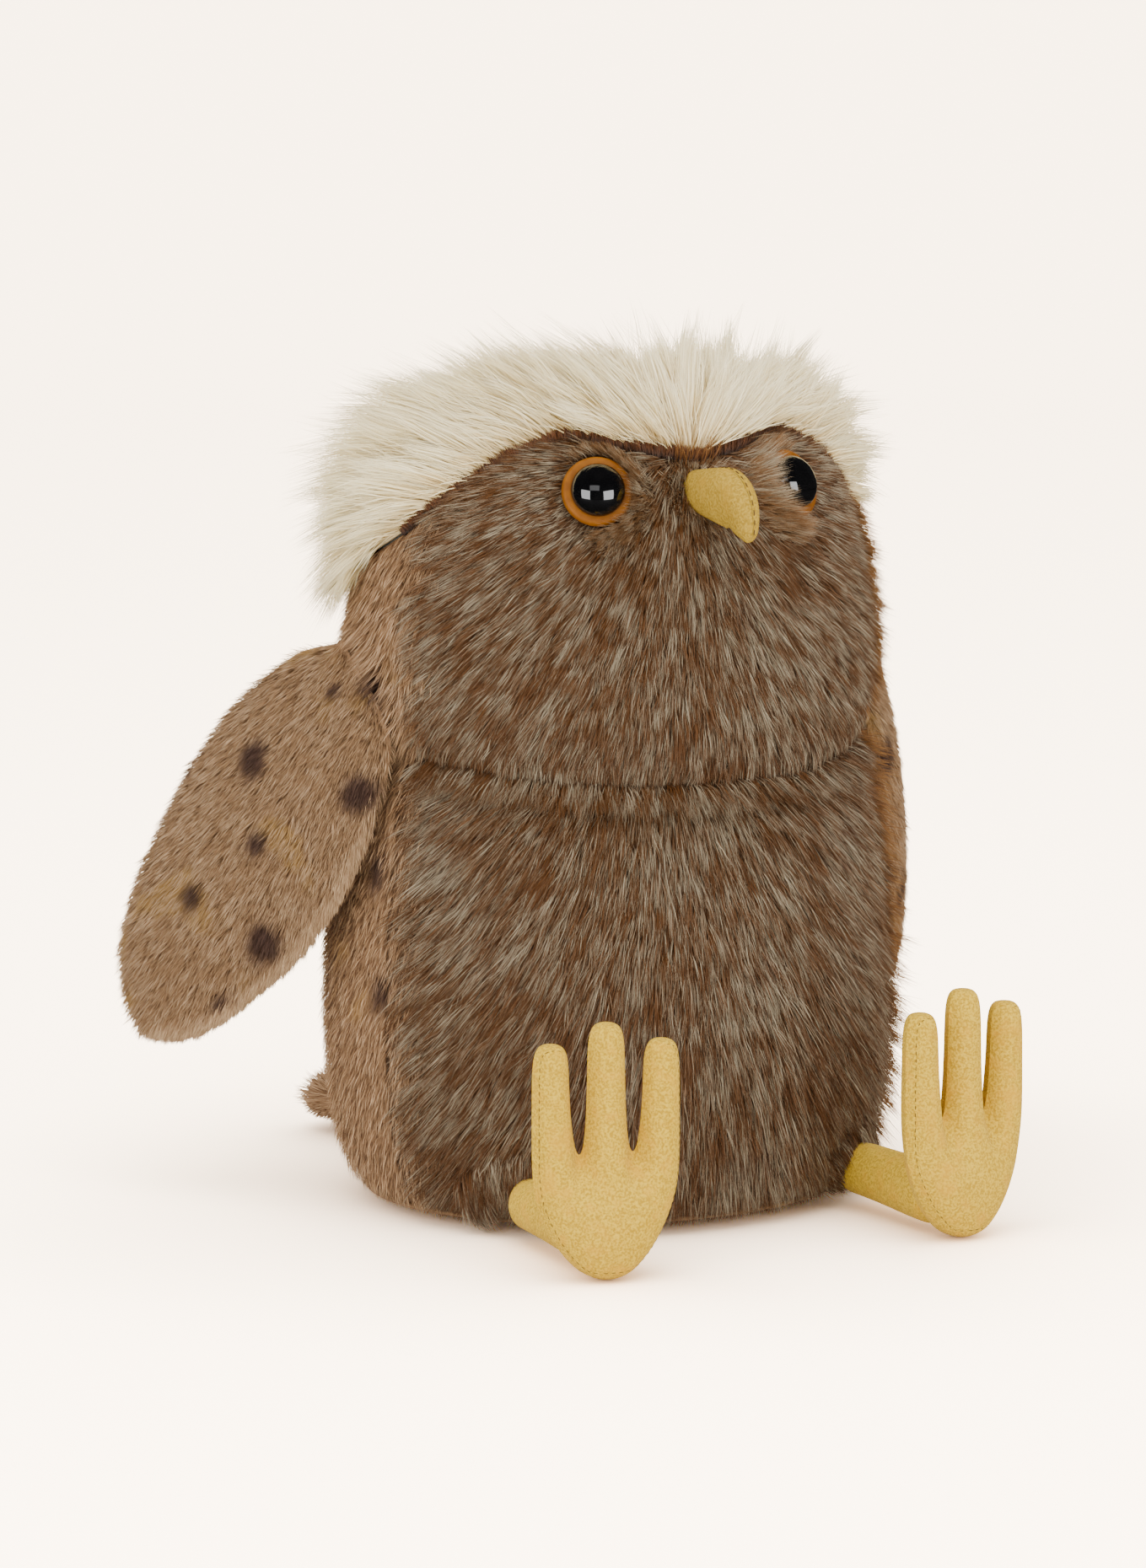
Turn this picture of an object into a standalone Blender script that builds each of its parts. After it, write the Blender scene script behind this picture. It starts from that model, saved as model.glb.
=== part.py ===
"""Sitting plush owl, built as its sewn panels, stuffings, eyes and floppy legs.

Metres, +Z up. The owl faces -Y and sits on its flat base, with the origin at the
middle of that base. "right" and "left" are the owl's own: its right side is at -X.
"""
import math

import bmesh
import bpy
from mathutils import Matrix, Vector

MM = 0.001

# Cloth and clearances
PLUSH_THICKNESS = 3.0 * MM
SUEDE_THICKNESS = 1.1 * MM
WING_CLOTH_THICKNESS = 2.0 * MM
SEAM_GAP = 0.5 * MM
TOUCH_GAP = 0.3 * MM
STUFFING_CLEARANCE = 1.1 * MM
CUT_OVERRUN = 6.0 * MM
HEM_SHARE = 0.006

# Body: a squat pear, a little wider than it is deep
BODY_HALF_WIDTH = 77.0 * MM
BODY_FRONT = 70.0 * MM
BODY_BACK = 68.0 * MM
BASE_THICKNESS = 2.4 * MM
NECK_HEIGHT = 127.0 * MM
NECK_SLOPE_SHARE = 0.16
BODY_OUTLINE_SHARES = (
    (0.86, 0.0), (0.925, 0.06), (0.965, 0.14), (0.99, 0.25), (1.0, 0.38),
    (0.99, 0.58), (0.965, 0.76), (0.935, 0.90), (0.875, 1.0),
)
BODY_FRONT_SHARES = ((0.0, 1.0), (0.45, 1.0), (0.75, 0.97), (1.0, 0.93))
BODY_BACK_SHARES = ((0.0, 1.0), (1.0, 1.0))
SIDE_SEAM_AZIMUTH = 76.5
PELLET_BAG_RADIUS = 54.0 * MM
PELLET_BAG_HEIGHT = 20.0 * MM

# Head: a broad round head with a flat crown, its back sloping forward as it rises.
# Its neck edge is the body's, so its girth follows the body's.
HEAD_HEIGHT = 86.0 * MM
HEAD_FRONT_SHARES = ((0.0, 1.0), (1.0, 1.0))
HEAD_BACK_SHARES = ((0.0, 1.0), (0.16, 0.94), (0.28, 0.88), (0.50, 0.79), (0.84, 0.71), (1.0, 0.69))
HEAD_REAR_PINCH = 0.7
HEAD_OUTLINE_SHARES = (
    (0.917, 0.0), (0.97, 0.07), (1.0, 0.18), (0.995, 0.33), (0.965, 0.50),
    (0.91, 0.68), (0.83, 0.82), (0.68, 0.93), (0.40, 0.985), (0.0, 1.0),
)
NECK_GIRTH_SHARE = BODY_OUTLINE_SHARES[-1][0] / HEAD_OUTLINE_SHARES[0][0]
HEAD_HALF_WIDTH = BODY_HALF_WIDTH * NECK_GIRTH_SHARE
HEAD_FRONT = BODY_FRONT * BODY_FRONT_SHARES[-1][1] * NECK_GIRTH_SHARE
HEAD_BACK = BODY_BACK * NECK_GIRTH_SHARE
# Seam between the brown face, the tan back of the head and the white crown:
# (degrees from the beak, share of the head's height)
BROW_SEAM_SHARES = (
    (0.0, 0.855), (16.0, 0.885), (33.0, 0.915), (47.0, 0.87), (60.0, 0.77),
    (84.0, 0.575), (104.0, 0.475), (140.0, 0.475), (180.0, 0.50),
)
CROWN_PILE = 11.0 * MM

# Eyes: a black dome on an amber ring, held by a washer behind the cloth
EYE_AZIMUTH = 26.0
EYE_HEIGHT_SHARE = 0.765
IRIS_RADIUS = 9.2 * MM
IRIS_THICKNESS = 1.8 * MM
PUPIL_RADIUS = 7.0 * MM
PUPIL_HEIGHT = 4.4 * MM
SHANK_RADIUS = 2.0 * MM
SHANK_LENGTH = 9.0 * MM
WASHER_RADIUS = 7.0 * MM
WASHER_THICKNESS = 1.2 * MM

# Beak: a hooked horn sewn from two suede sides
BEAK_HEIGHT_SHARE = 0.775
BEAK_ROOT_RADIUS = 6.2 * MM
BEAK_STRAIGHT = 11.0 * MM
BEAK_HOOK = 20.0 * MM
BEAK_START_PITCH = 8.0
BEAK_END_PITCH = -102.0
BEAK_RADIUS_SHARES = (
    (0.0, 0.34), (0.12, 0.50), (0.30, 0.70), (0.50, 0.86), (0.70, 0.96), (1.0, 1.0),
)
BEAK_WIDTH_SHARE = 0.86

# Wings: long leaves sewn along the shoulder by their front top edge
WING_ROOT_AZIMUTH = 90.0
WING_ROOT_HEIGHT_SHARE = 0.28
WING_FOOT_AZIMUTH = 75.0
WING_FOOT_HEIGHT_SHARE = 0.965
WING_STAND_OFF = 5.2 * MM
WING_ROOT_STAND_OFF = 2.6 * MM
WING_SPREAD = 35.0 * MM
WING_TIP_BACK = 41.0 * MM
WING_TIP_HEIGHT = 41.0 * MM
WING_HALF_WIDTH = 31.5 * MM
WING_OUTER_PUFF = 9.0 * MM
WING_INNER_PUFF = 6.5 * MM
WING_MIDDLE_SHARE = 0.45
WING_FRONT_SHARES = (
    (0.0, 0.0), (0.04, 0.30), (0.07, 0.56), (0.14, 0.88), (0.25, 1.0), (0.42, 1.05),
    (0.60, 0.95), (0.78, 0.66), (0.90, 0.38), (0.97, 0.06), (1.0, -0.20),
)
WING_REAR_SHARES = (
    (0.0, 0.0), (0.09, 0.40), (0.31, 0.79), (0.51, 0.90), (0.70, 0.91),
    (0.86, 0.78), (0.97, 0.45), (1.0, 0.20),
)

# Legs and feet
HIP_AZIMUTH = 39.0
HIP_HEIGHT = 8.6 * MM
HIP_RADIUS = 6.5 * MM
HIP_STAND_OFF = 5.0 * MM
ANKLE_RADIUS = 7.6 * MM
ANKLE_HEIGHT = 9.4 * MM
LEG_LENGTH = 35.5 * MM
LEG_SPLAY = 5.0
FOOT_SPLAY = 10.0
SOCKET_CLEARANCE = 0.4 * MM
SOCKET_DEPTH = 3.4 * MM
FOOT_HALF_WIDTH = 21.5 * MM
FOOT_HEIGHT = 65.5 * MM
SIDE_TOE_DROP = 4.2 * MM
CROTCH_HEIGHT = 30.0 * MM
TOE_CONTROL_RADIUS = 6.9 * MM
TOE_CONTROL_DEPTH = 6.3 * MM
PALM_CONTROL_DEPTH = 8.0 * MM
HEEL_CONTROL_DEPTH = 7.6 * MM
TOE_SPREAD = 15.2 * MM

# Tail: a wedge that lies behind the owl and props it up
TAIL_HEIGHT = 10.8 * MM
TAIL_LENGTH = 50.0 * MM
TAIL_HALF_WIDTH = 41.0 * MM
TAIL_UPPER_PUFF = 8.6 * MM
TAIL_LOWER_PUFF = 7.0 * MM
TAIL_DROOP = 3.5
TAIL_MIDDLE_SHARE = 0.5
TAIL_WIDTH_SHARES = (
    (0.0, 0.58), (0.10, 0.66), (0.35, 0.80), (0.62, 0.95), (0.80, 1.0),
    (0.92, 0.84), (0.98, 0.50), (1.0, 0.0),
)

# Faces: how finely each form is drawn
BODY_COLUMN_COUNT = 16
BODY_ROW_COUNT = 11
GLOBE_SEGMENT_COUNT = 24
GLOBE_RING_COUNT = 10
LEAF_SEGMENT_COUNT = 20
LEAF_RING_COUNT = 8
HORN_SEGMENT_COUNT = 12
HORN_RING_COUNT = 8
LEG_SEGMENT_COUNT = 12
TURN_STEP_COUNT = 24

PLUSH_BROWN = ("frosted_brown_plush", (0.20, 0.12, 0.07, 1.0), 0.95)
PLUSH_TAN = ("spotted_tan_plush", (0.38, 0.26, 0.15, 1.0), 0.95)
PLUSH_WHITE = ("ivory_long_pile", (0.82, 0.79, 0.69, 1.0), 0.95)
SUEDE = ("yellow_suede", (0.66, 0.51, 0.19, 1.0), 0.92)
BLACK_GLOSS = ("black_gloss_plastic", (0.01, 0.01, 0.012, 1.0), 0.06)
AMBER = ("amber_plastic", (0.58, 0.24, 0.02, 1.0), 0.45)
FIBREFILL = ("white_fibrefill", (0.85, 0.85, 0.83, 1.0), 1.0)
LINING = ("pellet_bag_cloth", (0.75, 0.72, 0.66, 1.0), 0.9)
WASHER_PLASTIC = ("washer_plastic", (0.80, 0.80, 0.78, 1.0), 0.5)


def smooth(table, at):
    """Read a curve without overshoot through the (place, value) pairs of a table."""
    places = [pair[0] for pair in table]
    values = [pair[1] for pair in table]
    at = min(max(at, places[0]), places[-1])
    last = len(places) - 1
    index = 0
    while index < last - 1 and at > places[index + 1]:
        index += 1
    slopes = [(values[i + 1] - values[i]) / (places[i + 1] - places[i]) for i in range(last)]

    def tangent(i):
        if i == 0:
            return slopes[0]
        if i == last:
            return slopes[-1]
        before, after = slopes[i - 1], slopes[i]
        if before * after <= 0.0:
            return 0.0
        return 2.0 * before * after / (before + after)

    width = places[index + 1] - places[index]
    t = (at - places[index]) / width
    start = (1.0 + 2.0 * t) * (1.0 - t) ** 2 * values[index]
    start += t * (1.0 - t) ** 2 * width * tangent(index)
    end = t * t * (3.0 - 2.0 * t) * values[index + 1]
    end += t * t * (t - 1.0) * width * tangent(index + 1)
    return start + end


def mix(low, high, share):
    """Go from low to high by a share."""
    return low + (high - low) * share


def neck_height(depth):
    """Height of the sloping neck seam at a place along Y."""
    return NECK_HEIGHT + NECK_SLOPE_SHARE * depth


class Form:
    """A round form about the Z axis, read by azimuth (0 is the front) and by share of its outline.

    front and back are pairs of a depth and its shares by height; pinch narrows the back as it rises.
    """

    def __init__(self, half_width, front, back, outline, low, high, pinch=0.0):
        self.half_width = half_width
        self.front = front
        self.back = back
        self.pinch = pinch
        self.low = low
        self.high = high
        height = high(0.0) - low(0.0)
        places = [0.0]
        for (girth_a, height_a), (girth_b, height_b) in zip(outline, outline[1:]):
            step = math.hypot((girth_b - girth_a) * half_width, (height_b - height_a) * height)
            places.append(places[-1] + step)
        self.length = places[-1]
        places = [place / self.length for place in places]
        self.girths = [(place, pair[0]) for place, pair in zip(places, outline)]
        self.heights = [(place, pair[1]) for place, pair in zip(places, outline)]

    def along(self, height_share):
        """Share of the outline at which the form reaches a share of its height."""
        low, high = 0.0, 1.0
        for _ in range(40):
            middle = (low + high) / 2.0
            if smooth(self.heights, middle) < height_share:
                low = middle
            else:
                high = middle
        return (low + high) / 2.0

    def skin(self, azimuth, along):
        """Point on the form's outer surface."""
        girth = smooth(self.girths, along)
        height = smooth(self.heights, along)
        ahead = math.cos(azimuth)
        x = self.half_width * girth * math.sin(azimuth)
        if ahead > 0.0:
            y = -self.front[0] * smooth(self.front[1], height) * girth * ahead
        else:
            y = self.back[0] * smooth(self.back[1], height) * girth * (-ahead) ** (1.0 + self.pinch * height)
        z = mix(self.low(y), self.high(y), height)
        return Vector((x, y, z))

    def normal(self, azimuth, along):
        """Direction that points straight out of the surface."""
        step = 0.002
        aside = self.skin(azimuth + step, along) - self.skin(azimuth - step, along)
        up = self.skin(azimuth, min(along + step, 1.0)) - self.skin(azimuth, max(along - step, 0.0))
        if smooth(self.girths, along) < step:
            return Vector((0.0, 0.0, 1.0))
        return aside.cross(up).normalized()

    def point(self, azimuth, along, depth=0.0):
        """Point at a depth under the surface, or above it where the depth is negative."""
        return self.skin(azimuth, along) - self.normal(azimuth, along) * depth


BODY = Form(
    BODY_HALF_WIDTH, (BODY_FRONT, BODY_FRONT_SHARES), (BODY_BACK, BODY_BACK_SHARES), BODY_OUTLINE_SHARES,
    lambda depth: BASE_THICKNESS + TOUCH_GAP,
    lambda depth: neck_height(depth) - SEAM_GAP / 2.0,
)
HEAD = Form(
    HEAD_HALF_WIDTH, (HEAD_FRONT, HEAD_FRONT_SHARES), (HEAD_BACK, HEAD_BACK_SHARES), HEAD_OUTLINE_SHARES,
    lambda depth: neck_height(depth) + SEAM_GAP / 2.0,
    lambda depth: NECK_HEIGHT + HEAD_HEIGHT,
    HEAD_REAR_PINCH,
)


def brow_along(azimuth, shift=0.0):
    """Outline share of the crown's seam at an azimuth, moved along the surface by a length."""
    turned = abs(math.degrees(math.atan2(math.sin(azimuth), math.cos(azimuth))))
    return HEAD.along(smooth(BROW_SEAM_SHARES, turned)) + shift / HEAD.length


def start_scene():
    """Clear the scene and make the two collections."""
    for old in list(bpy.data.objects):
        bpy.data.objects.remove(old, do_unlink=True)
    parts = bpy.data.collections.new("plush_owl")
    cutters = bpy.data.collections.new("cutters")
    for collection in (parts, cutters):
        bpy.context.scene.collection.children.link(collection)
    return parts, cutters


PARTS, CUTTERS = start_scene()
MATERIALS = {}


def material(finish):
    """Material of a finish, made once."""
    name, colour, roughness = finish
    if name not in MATERIALS:
        made = bpy.data.materials.new(name)
        made.use_nodes = True
        shader = made.node_tree.nodes["Principled BSDF"]
        shader.inputs["Base Color"].default_value = colour
        shader.inputs["Roughness"].default_value = roughness
        shader.inputs["Metallic"].default_value = 0.0
        made.diffuse_color = colour
        MATERIALS[name] = made
    return MATERIALS[name]


def add_object(name, bm, finish=None, pivot=None):
    """Turn a bmesh in world places into an object with its origin at the pivot."""
    pivot = pivot or Vector((0.0, 0.0, 0.0))
    bmesh.ops.translate(bm, verts=bm.verts, vec=-pivot)
    mesh = bpy.data.meshes.new(name)
    bm.to_mesh(mesh)
    bm.free()
    mesh.shade_smooth()
    made = bpy.data.objects.new(name, mesh)
    made.location = pivot
    if finish is None:
        made.hide_render = True
        made.display_type = "WIRE"
        CUTTERS.objects.link(made)
    else:
        mesh.materials.append(material(finish))
        PARTS.objects.link(made)
    return made


def add_empty(name, matrix):
    """Empty that carries the pieces of one assembly."""
    made = bpy.data.objects.new(name, None)
    made.matrix_world = matrix
    PARTS.objects.link(made)
    return made


def wall(piece, thickness):
    """Give an open surface its wall, on the inner side."""
    shell = piece.modifiers.new("wall", "SOLIDIFY")
    shell.thickness = thickness
    shell.offset = -1.0
    return piece


def cut(piece, cutter):
    """Take a cutter's volume out of a piece."""
    hole = piece.modifiers.new("cut_" + cutter.name, "BOOLEAN")
    hole.operation = "DIFFERENCE"
    hole.solver = "EXACT"
    hole.object = cutter
    return piece


def box_cutter(name, low, high, matrix=None):
    """Box between two corners, as a cutter."""
    bm = bmesh.new()
    bmesh.ops.create_cube(bm, size=1.0)
    low, high = Vector(low), Vector(high)
    for vertex in bm.verts:
        share = vertex.co + Vector((0.5, 0.5, 0.5))
        vertex.co = Vector(mix(low[i], high[i], share[i]) for i in range(3))
    made = add_object(name, bm)
    if matrix is not None:
        made.matrix_world = matrix
    return made


def globe(name, around, rings, place, finish=None, pivot=None):
    """Closed form from a sphere: place(turn, fall) gives each point, fall 0 at the top, 1 at the bottom."""
    bm = bmesh.new()
    bmesh.ops.create_uvsphere(bm, u_segments=around, v_segments=rings, radius=1.0)
    for vertex in bm.verts:
        fall = math.acos(min(max(vertex.co.z, -1.0), 1.0)) / math.pi
        turn = math.atan2(vertex.co.x, -vertex.co.y)
        vertex.co = place(turn, fall)
    bm.normal_update()
    bmesh.ops.recalc_face_normals(bm, faces=bm.faces)
    return add_object(name, bm, finish, pivot)


def hem_share(place, segments):
    """Share across a panel of a place from -0.5 to 0.5, with a narrow hem row at each edge."""
    row = round((place + 0.5) * segments)
    if row in (0, segments):
        return row / segments
    return mix(HEM_SHARE, 1.0 - HEM_SHARE, (row - 1) / (segments - 2))


def form_panel(name, form, start, end, low, high, across, up, finish):
    """Cloth panel on a form, between two azimuths and two edges given as shares of the outline."""
    bm = bmesh.new()
    bmesh.ops.create_grid(bm, x_segments=across, y_segments=up, size=0.5)
    for vertex in bm.verts:
        azimuth = mix(start, end, hem_share(vertex.co.x, across))
        along = mix(low(azimuth), high(azimuth), hem_share(vertex.co.y, up))
        vertex.co = form.point(azimuth, along)
    return wall(add_object(name, bm, finish), PLUSH_THICKNESS)


def form_solid(name, form, depth, finish=None, low_along=0.0, open_top=False, fineness=1):
    """Closed solid that follows a form at a depth, closed flat below and, for an open form, above."""
    rings = GLOBE_RING_COUNT * fineness
    cap = 1.0 / rings

    def place(turn, fall):
        if fall < cap / 2.0 and open_top:
            return Vector((0.0, 0.0, form.high(0.0)))
        if fall > 1.0 - cap / 2.0:
            rim = form.point(0.0, low_along, depth)
            other = form.point(math.pi, low_along, depth)
            return Vector((0.0, 0.0, (rim.z + other.z) / 2.0))
        first = cap if open_top else 0.0
        share = (fall - first) / (1.0 - cap - first)
        return form.point(turn, mix(1.0, low_along, share), depth)

    return globe(name, GLOBE_SEGMENT_COUNT * fineness, rings, place, finish)


def build_body():
    """Belly, back and base panels with the stuffing and the pellet bag inside."""
    seam = math.radians(SIDE_SEAM_AZIMUTH)
    slack = SEAM_GAP / 2.0 / BODY_HALF_WIDTH

    def bottom(azimuth):
        return 0.0

    def top(azimuth):
        return 1.0

    belly = form_panel("belly_panel", BODY, -seam + slack, seam - slack, bottom, top,
                       BODY_COLUMN_COUNT, BODY_ROW_COUNT, PLUSH_BROWN)
    back = form_panel("body_back_panel", BODY, seam + slack, 2.0 * math.pi - seam - slack, bottom, top,
                      BODY_COLUMN_COUNT + 2, BODY_ROW_COUNT, PLUSH_TAN)
    bm = bmesh.new()
    bmesh.ops.create_circle(bm, cap_ends=True, segments=2 * GLOBE_SEGMENT_COUNT, radius=1.0)
    for vertex in bm.verts:
        rim = BODY.point(math.atan2(vertex.co.x, -vertex.co.y), 0.0)
        vertex.co = Vector((rim.x, rim.y, BASE_THICKNESS))
    wall(add_object("base_panel", bm, PLUSH_TAN), BASE_THICKNESS)

    bag_bottom = BASE_THICKNESS + TOUCH_GAP

    def bag(turn, fall):
        reach = PELLET_BAG_RADIUS * math.sin(fall * math.pi)
        rise = PELLET_BAG_HEIGHT * (1.0 + math.cos(fall * math.pi)) / 2.0
        return Vector((reach * math.sin(turn), -reach * math.cos(turn), bag_bottom + rise))

    globe("pellet_bag", GLOBE_SEGMENT_COUNT, GLOBE_RING_COUNT - 2, bag, LINING)
    inside = PLUSH_THICKNESS + STUFFING_CLEARANCE
    body_height = BODY.high(0.0) - BODY.low(0.0)
    floor_share = (PELLET_BAG_HEIGHT + BODY_FRONT * PELLET_BAG_HEIGHT / NECK_HEIGHT * NECK_SLOPE_SHARE
                   + STUFFING_CLEARANCE) / body_height
    stuffing = form_solid("body_stuffing", BODY, inside, FIBREFILL, BODY.along(floor_share), True)
    return belly, back, stuffing


def build_head():
    """Face, back and crown panels with the stuffing inside."""
    seam = math.radians(SIDE_SEAM_AZIMUTH)
    slack = SEAM_GAP / 2.0 / HEAD_HALF_WIDTH

    def bottom(azimuth):
        return 0.0

    def brow(azimuth):
        return brow_along(azimuth, -SEAM_GAP)

    face = form_panel("face_panel", HEAD, -seam + slack, seam - slack, bottom, brow,
                      BODY_COLUMN_COUNT + 2, BODY_ROW_COUNT - 1, PLUSH_BROWN)
    form_panel("head_back_panel", HEAD, seam + slack, 2.0 * math.pi - seam - slack, bottom, brow,
               BODY_COLUMN_COUNT, BODY_ROW_COUNT - 3, PLUSH_TAN)

    def crown(turn, fall):
        outer = fall <= 0.5
        reach = 2.0 * (fall if outer else 1.0 - fall)
        along = mix(1.0, brow_along(turn, 1.4 * SEAM_GAP), reach)
        lift = CROWN_PILE * (1.0 - reach ** 3)
        if reach > 1.0 - 0.5 / GLOBE_RING_COUNT:
            return HEAD.point(turn, along, PLUSH_THICKNESS / 4.0)
        return HEAD.point(turn, along, -lift if outer else PLUSH_THICKNESS)

    globe("crown_panel", GLOBE_SEGMENT_COUNT, GLOBE_RING_COUNT + 4, crown, PLUSH_WHITE)
    inside = PLUSH_THICKNESS + 1.5 * STUFFING_CLEARANCE
    stuffing = form_solid("head_stuffing", HEAD, inside, FIBREFILL)
    return face, stuffing


def turned(name, profile, finish, parent, steps=TURN_STEP_COUNT):
    """Piece turned about the local Z axis from a profile of (radius, height) points, outer side downwards."""
    mesh = bpy.data.meshes.new(name)
    closed = profile[0][0] > 0.0
    edges = [(i, i + 1) for i in range(len(profile) - 1)]
    if closed:
        edges.append((len(profile) - 1, 0))
    mesh.from_pydata([(radius, 0.0, height) for radius, height in profile], edges, [])
    made = bpy.data.objects.new(name, mesh)
    screw = made.modifiers.new("turn", "SCREW")
    screw.axis = "Z"
    screw.steps = steps
    screw.render_steps = steps
    screw.use_merge_vertices = True
    screw.merge_threshold = 0.00001
    screw.use_smooth_shade = True
    if finish is None:
        made.hide_render = True
        made.display_type = "WIRE"
        CUTTERS.objects.link(made)
    else:
        mesh.materials.append(material(finish))
        PARTS.objects.link(made)
    made.parent = parent
    return made


def rod_profile(radius, low, high):
    """Profile of a plain round rod."""
    return [(0.0, high), (radius, high), (radius, low), (0.0, low)]


def build_eye(word, side, face, stuffing):
    """Amber ring, black dome on its shank and the washer that locks it behind the face."""
    azimuth = side * math.radians(EYE_AZIMUTH)
    along = HEAD.along(EYE_HEIGHT_SHARE)
    out = HEAD.normal(azimuth, along)
    turn = out.to_track_quat("Z", "Y").to_matrix().to_4x4()
    seat = add_empty(word + "_eye_seat", Matrix.Translation(HEAD.point(azimuth, along)) @ turn)
    bore = SHANK_RADIUS + TOUCH_GAP
    low = TOUCH_GAP
    high = low + IRIS_THICKNESS
    turned(word + "_iris_ring", [
        (bore, high), (PUPIL_RADIUS, high), (mix(PUPIL_RADIUS, IRIS_RADIUS, 0.55), mix(low, high, 0.9)),
        (IRIS_RADIUS, mix(low, high, 0.35)), (mix(PUPIL_RADIUS, IRIS_RADIUS, 0.8), low), (bore, low),
    ], AMBER, seat)
    base = high + TOUCH_GAP
    falls = [math.radians(angle) for angle in (0, 15, 30, 45, 60, 75, 90)]
    dome = [(PUPIL_RADIUS * math.sin(fall), base + PUPIL_HEIGHT * math.cos(fall)) for fall in falls]
    tail = -SHANK_LENGTH
    turned(word + "_eye_dome", dome + [(PUPIL_RADIUS * 0.93, base), (SHANK_RADIUS, base),
                                       (SHANK_RADIUS, tail), (0.0, tail)], BLACK_GLOSS, seat)
    press = -PLUSH_THICKNESS - TOUCH_GAP
    behind = press - TOUCH_GAP
    turned(word + "_eye_washer", [(bore, behind), (WASHER_RADIUS, behind),
                                  (WASHER_RADIUS, behind - WASHER_THICKNESS),
                                  (bore, behind - WASHER_THICKNESS)], WASHER_PLASTIC, seat)
    recess = WASHER_RADIUS + TOUCH_GAP
    hole = turned(word + "_eye_hole", [
        (0.0, CUT_OVERRUN), (bore, CUT_OVERRUN), (bore, press), (recess, press),
        (recess, press - CUT_OVERRUN), (0.0, press - CUT_OVERRUN),
    ], None, seat)
    pocket = turned(word + "_eye_pocket", rod_profile(WASHER_RADIUS + STUFFING_CLEARANCE,
                                                      tail - STUFFING_CLEARANCE, CUT_OVERRUN), None, seat)
    cut(face, hole)
    cut(stuffing, pocket)


def build_beak(head_block):
    """Hooked beak of two suede sides round a little stuffing."""
    along = HEAD.along(BEAK_HEIGHT_SHARE)
    root = HEAD.point(0.0, along, CUT_OVERRUN)
    forward = Vector((0.0, -1.0, 0.0))
    up = Vector((0.0, 0.0, 1.0))
    start = math.radians(BEAK_START_PITCH)
    end = math.radians(BEAK_END_PITCH)
    bend = BEAK_HOOK / (start - end)
    straight = CUT_OVERRUN + BEAK_STRAIGHT
    length = BEAK_STRAIGHT + BEAK_HOOK

    def spine(distance):
        """Point and direction on the beak's middle line: a straight root, then an arc that hooks down."""
        pitch = mix(start, end, max(distance - straight, 0.0) / BEAK_HOOK)
        heading = forward * math.cos(pitch) + up * math.sin(pitch)
        if distance < straight:
            return root + heading * distance, heading
        middle = root + (forward * math.cos(start) + up * math.sin(start)) * straight
        middle = middle + forward * bend * (math.sin(start) - math.sin(pitch))
        return middle + up * bend * (math.cos(pitch) - math.cos(start)), heading

    def horn(inset):
        total = CUT_OVERRUN + length - inset
        tip = BEAK_ROOT_RADIUS * BEAK_RADIUS_SHARES[0][1]

        def place(turn, fall):
            ring = round(fall * HORN_RING_COUNT)
            if ring == 0:
                return spine(total)[0]
            if ring == HORN_RING_COUNT:
                return spine(-inset)[0]
            distance = mix(total - tip / 2.0, -inset, (ring - 1) / (HORN_RING_COUNT - 2))
            middle, heading = spine(distance)
            near_tip = min((CUT_OVERRUN + length - distance) / length, 1.0)
            radius = BEAK_ROOT_RADIUS * smooth(BEAK_RADIUS_SHARES, near_tip) - inset
            over = heading.cross(Vector((1.0, 0.0, 0.0)))
            point = middle + Vector((radius * BEAK_WIDTH_SHARE * math.sin(turn), 0.0, 0.0))
            return point + over * radius * math.cos(turn)
        return place

    hollow = globe("beak_hollow", HORN_SEGMENT_COUNT, HORN_RING_COUNT, horn(SUEDE_THICKNESS))
    reach = length + CUT_OVERRUN + HEAD_FRONT
    low_z, high_z = root.z - reach, root.z + reach
    for word, side in (("right", -1), ("left", 1)):
        panel = globe("beak_" + word + "_panel", HORN_SEGMENT_COUNT, HORN_RING_COUNT, horn(0.0), SUEDE)
        edge = side * SEAM_GAP / 2.0
        far = -side * length
        half = box_cutter(word + "_beak_half", (min(edge, far), -reach, low_z), (max(edge, far), 0.0, high_z))
        cut(cut(cut(panel, hollow), half), head_block)
    core = horn(SUEDE_THICKNESS + STUFFING_CLEARANCE / 2.0)
    stuffing = globe("beak_stuffing", HORN_SEGMENT_COUNT, HORN_RING_COUNT, core, FIBREFILL)
    cut(stuffing, head_block)


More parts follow.
